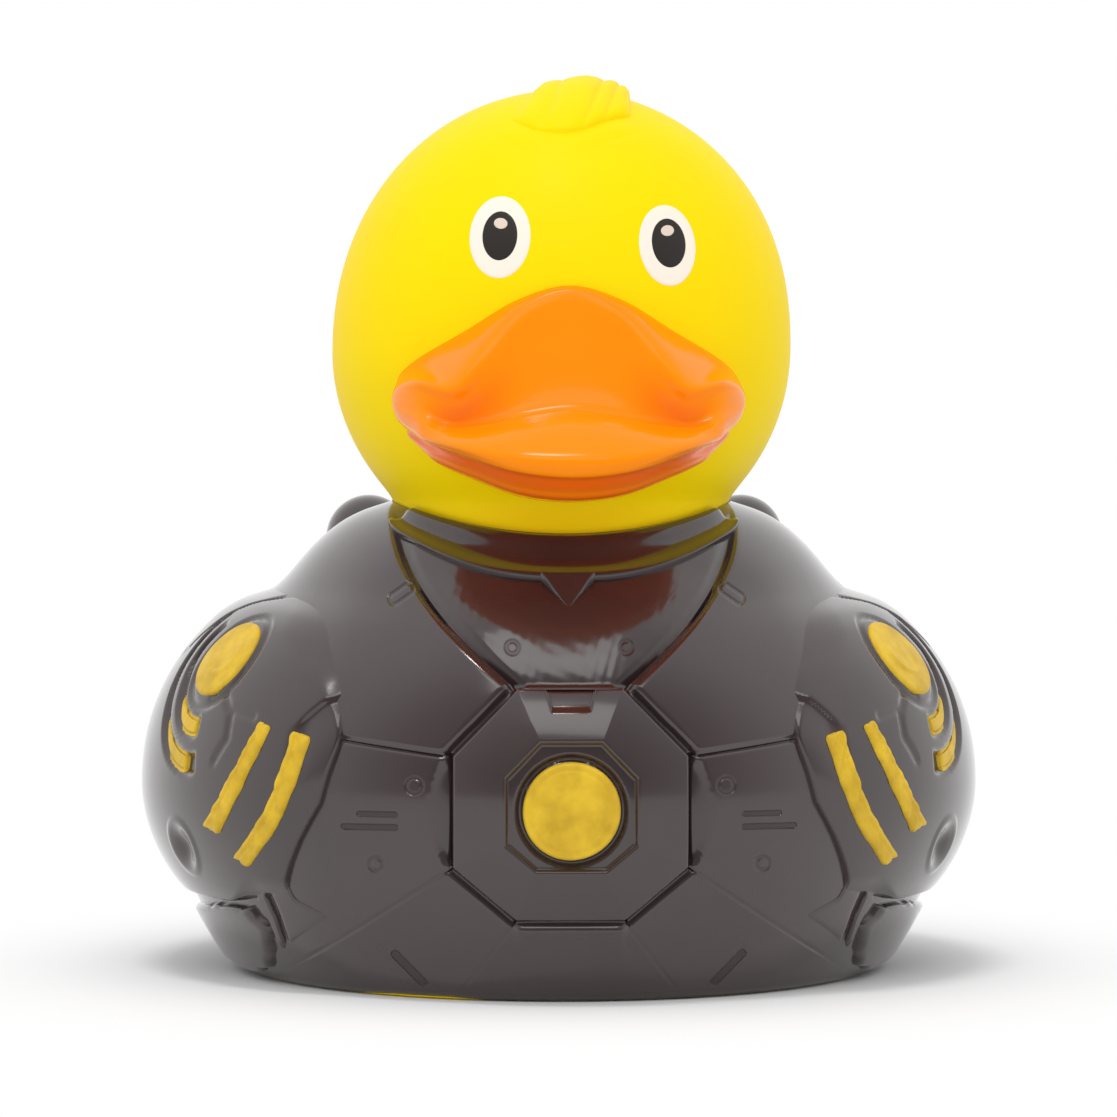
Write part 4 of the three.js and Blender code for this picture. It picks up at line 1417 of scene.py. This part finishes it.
# %% [markdown]
# ## Gold marks
#
# A brush laid the gold over raised shapes: a disc on the plate and one on each shoulder, two bars on each
# sleeve and the lower ends of the two grooves. Each is a thin cushion that follows what it lies on, and the
# discs and bars have a slightly unsteady edge.

# %% Gold discs, bars and groove ends
DISC_SPOKES = 96
DISC_SHARES = [[0.03], np.linspace(0.1, 0.86, 24), [0.9, 0.93, 0.96, 0.98, 1.0]]
DISC_WOBBLE, BAR_WOBBLE = 0.03, 0.035
SHOULDER_DISC_RADIUS = 3.75
GROOVE_END_HALF, GROOVE_END_LENGTH = 0.78, 6.0
BAR_SAMPLES = 80
BAR_END = {"sharp": 22.4, "blunt": 0.55}


def disc_offsets(radius, seed):
    """Rings and spokes of a round mark: offsets across and up, and the distance from its edge."""
    turn = np.linspace(0, 2 * np.pi, DISC_SPOKES, endpoint=False)[None, :]
    share = np.concatenate(DISC_SHARES)[::-1, None]
    reach = (radius + wobble(turn, DISC_WOBBLE, seed)) * share
    return reach * np.cos(turn), reach * np.sin(turn), (1 - share) * radius + 0 * turn


def plate_disc_grid():
    """The gold disc in the plate's well, with a shallow ring just inside its edge."""
    across, up, edge = disc_offsets(DISC_RADIUS, seed=3)
    floor = plate_relief(0 * across, DISC_MIDDLE[1] + 0 * up)
    lift = floor + cushion_lift(edge, proud=0.75, sink=0.5, rounding=0.4) - 0.12 * hump(edge - 0.75, 0.3)
    return on_torso(DISC_MIDDLE[0] + across, DISC_MIDDLE[1] + up, lift)


def on_sleeve(across, up, spot, lift):
    """Offsets in mm from a spot, laid on the sleeve and moved out along its normal."""
    round_from, height = unrolled(*spot)
    angle, w = rolled(round_from + across, height + up)
    front = front_edge(w)
    u, v = (np.degrees(angle) - front) / (SLEEVE_BACK - front), (w - HEM_W) / (SLEEVE_TOP_W - HEM_W)
    return sleeve(u, v) + outward(sleeve, u, v) * lift[..., None]


def shoulder_disc_grid():
    """The disc on the shoulder, with a curl of thicker paint in its lower half."""
    across, up, edge = disc_offsets(SHOULDER_DISC_RADIUS, seed=5)
    curl = hump(np.hypot(across, up * 1.2) - 2.1, 0.5) * ease(1.2, -0.6, up + 0.5 * across)
    lift = cushion_lift(edge, proud=0.32, sink=0.3, rounding=0.35) + 0.14 * curl
    return on_sleeve(across * 1.08, up * 0.97, SHOULDER_DISC, lift)


def groove_end_grid(radius, start, end):
    """A curved gold bar on the floor of a groove, blunt at its lower end and pointed at its upper one."""
    side, along = np.meshgrid(np.linspace(-1, 1, 17), np.linspace(0, 1, 60))
    half = GROOVE_END_HALF * ease(1.05, 0.35, along)
    turn = mix(start, end, along)
    reach = radius - side * half
    edge = np.minimum(half * (1 - np.abs(side)), GROOVE_END_LENGTH * np.minimum(along, 1 - along))
    lift = cushion_lift(edge, proud=0.5, sink=0.15, rounding=0.35)
    return on_sleeve(reach * np.cos(turn), reach * np.sin(turn), SHOULDER_DISC, lift)


def bar_grid(path, half_widths, seed):
    """A bar along a front-view path of (x, z) on the sleeve, with round ends and a brush mark along it."""
    places = np.linspace(0, 1, BAR_SAMPLES)
    line = along_path(path, places)
    along = np.gradient(line, axis=0)
    along = along / np.linalg.norm(along, axis=1, keepdims=True)
    off = np.stack([-along[:, 1], along[:, 0]], -1)
    side, place = np.meshgrid(np.linspace(-1, 1, 25), places)
    half = np.interp(place, np.linspace(0, 1, len(half_widths)), half_widths)
    half = half + wobble(place * 9, BAR_WOBBLE, seed)
    end = np.clip(np.minimum(place, 1 - place) * BAR_END["sharp"] / half, 0, 1)
    half = half * mix(BAR_END["blunt"], 1, np.sqrt(1 - (1 - end) ** 2))
    spot = line[:, None] + off[:, None] * (side * half)[..., None]
    length = np.linalg.norm(np.diff(line, axis=0), axis=1).sum()
    edge = np.minimum(half * (1 - np.abs(side)), length * np.minimum(place, 1 - place))
    u, v = seek(sleeve, spot[..., 0], spot[..., 1], 0.15 + 0 * side, 0.5 + 0 * side)
    brush = 0.05 * wobble(place * 20 + side * 2, 1, seed) - 0.1 * hump(side - 0.25, 0.3)
    lift = cushion_lift(edge, proud=0.38, sink=0.25, rounding=0.4) + brush
    return (sleeve(u, v) + outward(sleeve, u, v) * lift[..., None])[:, ::-1]


make_piece("plate_disc", plate_disc_grid(), gold_paint, "gold_paint", **CAPPED)
make_pair("shoulder_disc", shoulder_disc_grid(), gold_paint, "gold_paint", **CAPPED)
# Each groove end starts and ends at a turn round the disc, in radians from straight back
GROOVE_ENDS = {"inner": (GROOVE_RADII[0], -1.62, -0.6), "outer": (GROOVE_RADII[1], -1.5, -0.6)}
for place, arc in GROOVE_ENDS.items():
    make_pair(f"groove_end_{place}", groove_end_grid(*arc), gold_paint, "gold_paint")
# Each bar is a path of (x, z) from its top, its half widths along it, and a seed
BARS = {
    "outer": ([(27.3, 24.6), (28.7, 21.9), (30.5, 18.4), (32.5, 14.5)], (0.62, 0.7, 0.8, 0.85), 7),
    "inner": ([(24.0, 23.9), (25.0, 20.7), (26.8, 16.2), (29.7, 11.7)], (0.95, 0.9, 0.9, 0.9), 8),
}
for place, bar in BARS.items():
    make_pair(f"{place}_bar", bar_grid(*bar), gold_paint, "gold_paint")

# %% [markdown]
# ## Pods
#
# Behind the neck two pods lie on the shoulder blades. Each is a capsule pitched down towards the tail and
# sunk into the back; only its upper end shows over the shoulder from the front.

# %% Pods
POD = {"place": (18.3, 16.5, 37.3), "radius": 4.2, "length": 11.0, "pitch": -36.0}
POD_COLUMNS, POD_ROWS = 48, 40


def pod_grid():
    """A capsule along y, pitched down towards the tail."""
    turn = np.linspace(0, 2 * np.pi, POD_COLUMNS, endpoint=False)[None, :]
    rise = np.linspace(-np.pi / 2, np.pi / 2, POD_ROWS)[1:-1, None]
    along = np.sin(rise) * POD["radius"] + np.sign(rise) * POD["length"] / 2
    reach = np.cos(rise) * POD["radius"]
    across, up = reach * np.sin(turn), reach * np.cos(turn)
    pitch = np.radians(POD["pitch"])
    y, z = along * np.cos(pitch) - up * np.sin(pitch), along * np.sin(pitch) + up * np.cos(pitch)
    return np.stack(np.broadcast_arrays(across, y, z), -1) + POD["place"]


make_pair("pod", pod_grid(), suit_paint, "suit_paint", around=True, close=(True, True))

# %% [markdown]
# ## The studio
#
# The picture has a plain white background, so the world is white to the camera. To the duck it is a white
# room whose front, behind the camera, is darker: that is what gives a glossy dark suit its soft gradients.
# The floor is pale and keeps the duck's shadow, and fades into the white further out. The camera stands
# half a metre away, level with the bill, with a long lens.

# %% Camera
import math

CAMERA_AWAY = 480.0
CAMERA_HEIGHT = 52.0
CAMERA_TURN = math.radians(-1.7)
CAMERA_DIP = math.radians(1.58)
FOCAL_PIXELS = 4997
PHOTO_PIXELS = 1117
SENSOR_WIDTH = 36.0

camera_data = bpy.data.cameras.new("camera")
camera_data.sensor_width = SENSOR_WIDTH
camera_data.lens = FOCAL_PIXELS / PHOTO_PIXELS * camera_data.sensor_width
camera = bpy.data.objects.new("camera", camera_data)
camera_x, camera_y = CAMERA_AWAY * math.sin(CAMERA_TURN), -CAMERA_AWAY * math.cos(CAMERA_TURN)
camera.location = (camera_x * mm, camera_y * mm, CAMERA_HEIGHT * mm)
camera.rotation_euler = (math.pi / 2 - CAMERA_DIP, 0, CAMERA_TURN)
bpy.context.scene.collection.objects.link(camera)
bpy.context.scene.camera = camera
print("lens in mm:", round(camera_data.lens, 1))

# %% World and lamps
bpy.context.scene.view_settings.view_transform = "Standard"
ROOM_LEVEL = 0.88
DARK_FRONT = 0.2
LAMP_TARGET = (0, -0.02, 0.045)


def white_room(level):
    """A white world: plain white to the camera, dimmer in front to the duck's gloss, and even as light."""
    world = bpy.data.worlds.new("white room")
    bpy.context.scene.world = world
    world.use_nodes = True
    tree = world.node_tree
    tree.nodes.clear()
    out = node(tree, "ShaderNodeOutputWorld")
    room = node(tree, "ShaderNodeBackground", Color=(1, 1, 1, 1))
    path = node(tree, "ShaderNodeLightPath")
    where = node(tree, "ShaderNodeTexCoord")
    axes = node(tree, "ShaderNodeSeparateXYZ")
    gloss = node(tree, "ShaderNodeMapRange", interpolation_type="SMOOTHSTEP", From_Min=-0.95, From_Max=-0.1,
                 To_Min=DARK_FRONT, To_Max=1.0)
    seen = node(tree, "ShaderNodeMath", operation="MAXIMUM")
    glossy = node(tree, "ShaderNodeMix", data_type="FLOAT")
    plain = node(tree, "ShaderNodeMix", data_type="FLOAT")
    glossy.inputs["A"].default_value = level
    plain.inputs["B"].default_value = 1.0
    wire(
        tree,
        (where, "Generated", axes, "Vector"),
        (axes, "Y", gloss, "Value"),
        (gloss, "Result", glossy, "B"),
        (path, "Is Glossy Ray", glossy, "Factor"),
        (path, "Is Camera Ray", seen, 0),
        (path, "Is Transmission Ray", seen, 1),
        (seen, 0, plain, "Factor"),
        (glossy, "Result", plain, "A"),
        (plain, "Result", room, "Strength"),
        (room, "Background", out, "Surface"),
    )


def soft_lamp(name, place, size, watts):
    """A rectangular lamp at a place in metres, turned to the duck."""
    data = bpy.data.lights.new(name, "AREA")
    data.shape = "RECTANGLE"
    data.size, data.size_y = size
    data.energy = watts
    lamp = bpy.data.objects.new(name, data)
    lamp.location = place
    aim = np.array(LAMP_TARGET) - np.array(place)
    yaw = math.atan2(-aim[0], aim[1])
    lamp.rotation_euler = (math.pi / 2 + math.atan2(aim[2], math.hypot(aim[0], aim[1])), 0, yaw)
    bpy.context.scene.collection.objects.link(lamp)
    return lamp


white_room(ROOM_LEVEL)
lamps = [
    soft_lamp("front lamp", place=(-0.05, -0.46, 0.68), size=(0.5, 0.24), watts=0.75),
    soft_lamp("top lamp", place=(-0.07, -0.2, 0.8), size=(0.2, 0.06), watts=1.3),
]
print("lamps:", [lamp.name for lamp in lamps])


# %% Floor
FLOOR_HALF = 3.0
FLOOR_DROP = 0.05


def pale_floor():
    """A wide sheet, pale grey by the duck, that glows white to the camera and to reflections further out."""
    material = bpy.data.materials.new("pale floor")
    material.use_nodes = True
    tree = material.node_tree
    shader = tree.nodes["Principled BSDF"]
    out = tree.nodes["Material Output"]
    shader.inputs["Base Color"].default_value = (0.9, 0.9, 0.9, 1)
    shader.inputs["Roughness"].default_value = 0.9
    shader.inputs["Specular IOR Level"].default_value = 0.0
    glow = node(tree, "ShaderNodeEmission", Color=(1, 1, 1, 1), Strength=1.0)
    choose = node(tree, "ShaderNodeMixShader")
    where = node(tree, "ShaderNodeTexCoord")
    length = node(tree, "ShaderNodeVectorMath", operation="LENGTH")
    far = node(tree, "ShaderNodeMapRange", interpolation_type="SMOOTHSTEP", From_Min=0.035, From_Max=0.075)
    path = node(tree, "ShaderNodeLightPath")
    glossy = node(tree, "ShaderNodeMath", operation="MAXIMUM")
    seen = node(tree, "ShaderNodeMath", operation="MAXIMUM")
    share = node(tree, "ShaderNodeMath", operation="MULTIPLY")
    wire(
        tree,
        (path, "Is Glossy Ray", glossy, 0),
        (path, "Is Transmission Ray", glossy, 1),
        (glossy, 0, seen, 0),
        (path, "Is Camera Ray", seen, 1),
        (seen, 0, share, 0),
        (far, "Result", share, 1),
        (where, "Object", length, 0),
        (length, "Value", far, "Value"),
        (share, 0, choose, "Fac"),
        (shader, "BSDF", choose, 1),
        (glow, "Emission", choose, 2),
        (choose, "Shader", out, "Surface"),
    )
    data = bpy.data.meshes.new("floor")
    signs = ((-1, -1), (1, -1), (1, 1), (-1, 1))
    corners = [(x * FLOOR_HALF, y * FLOOR_HALF, -FLOOR_DROP * mm) for x, y in signs]
    data.from_pydata(corners, [], [(0, 1, 2, 3)])
    data.materials.append(material)
    floor = bpy.data.objects.new("floor", data)
    bpy.context.scene.collection.objects.link(floor)


pale_floor()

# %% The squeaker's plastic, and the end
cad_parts["squeaker"].data.materials.clear()
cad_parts["squeaker"].data.materials.append(squeaker_plastic)
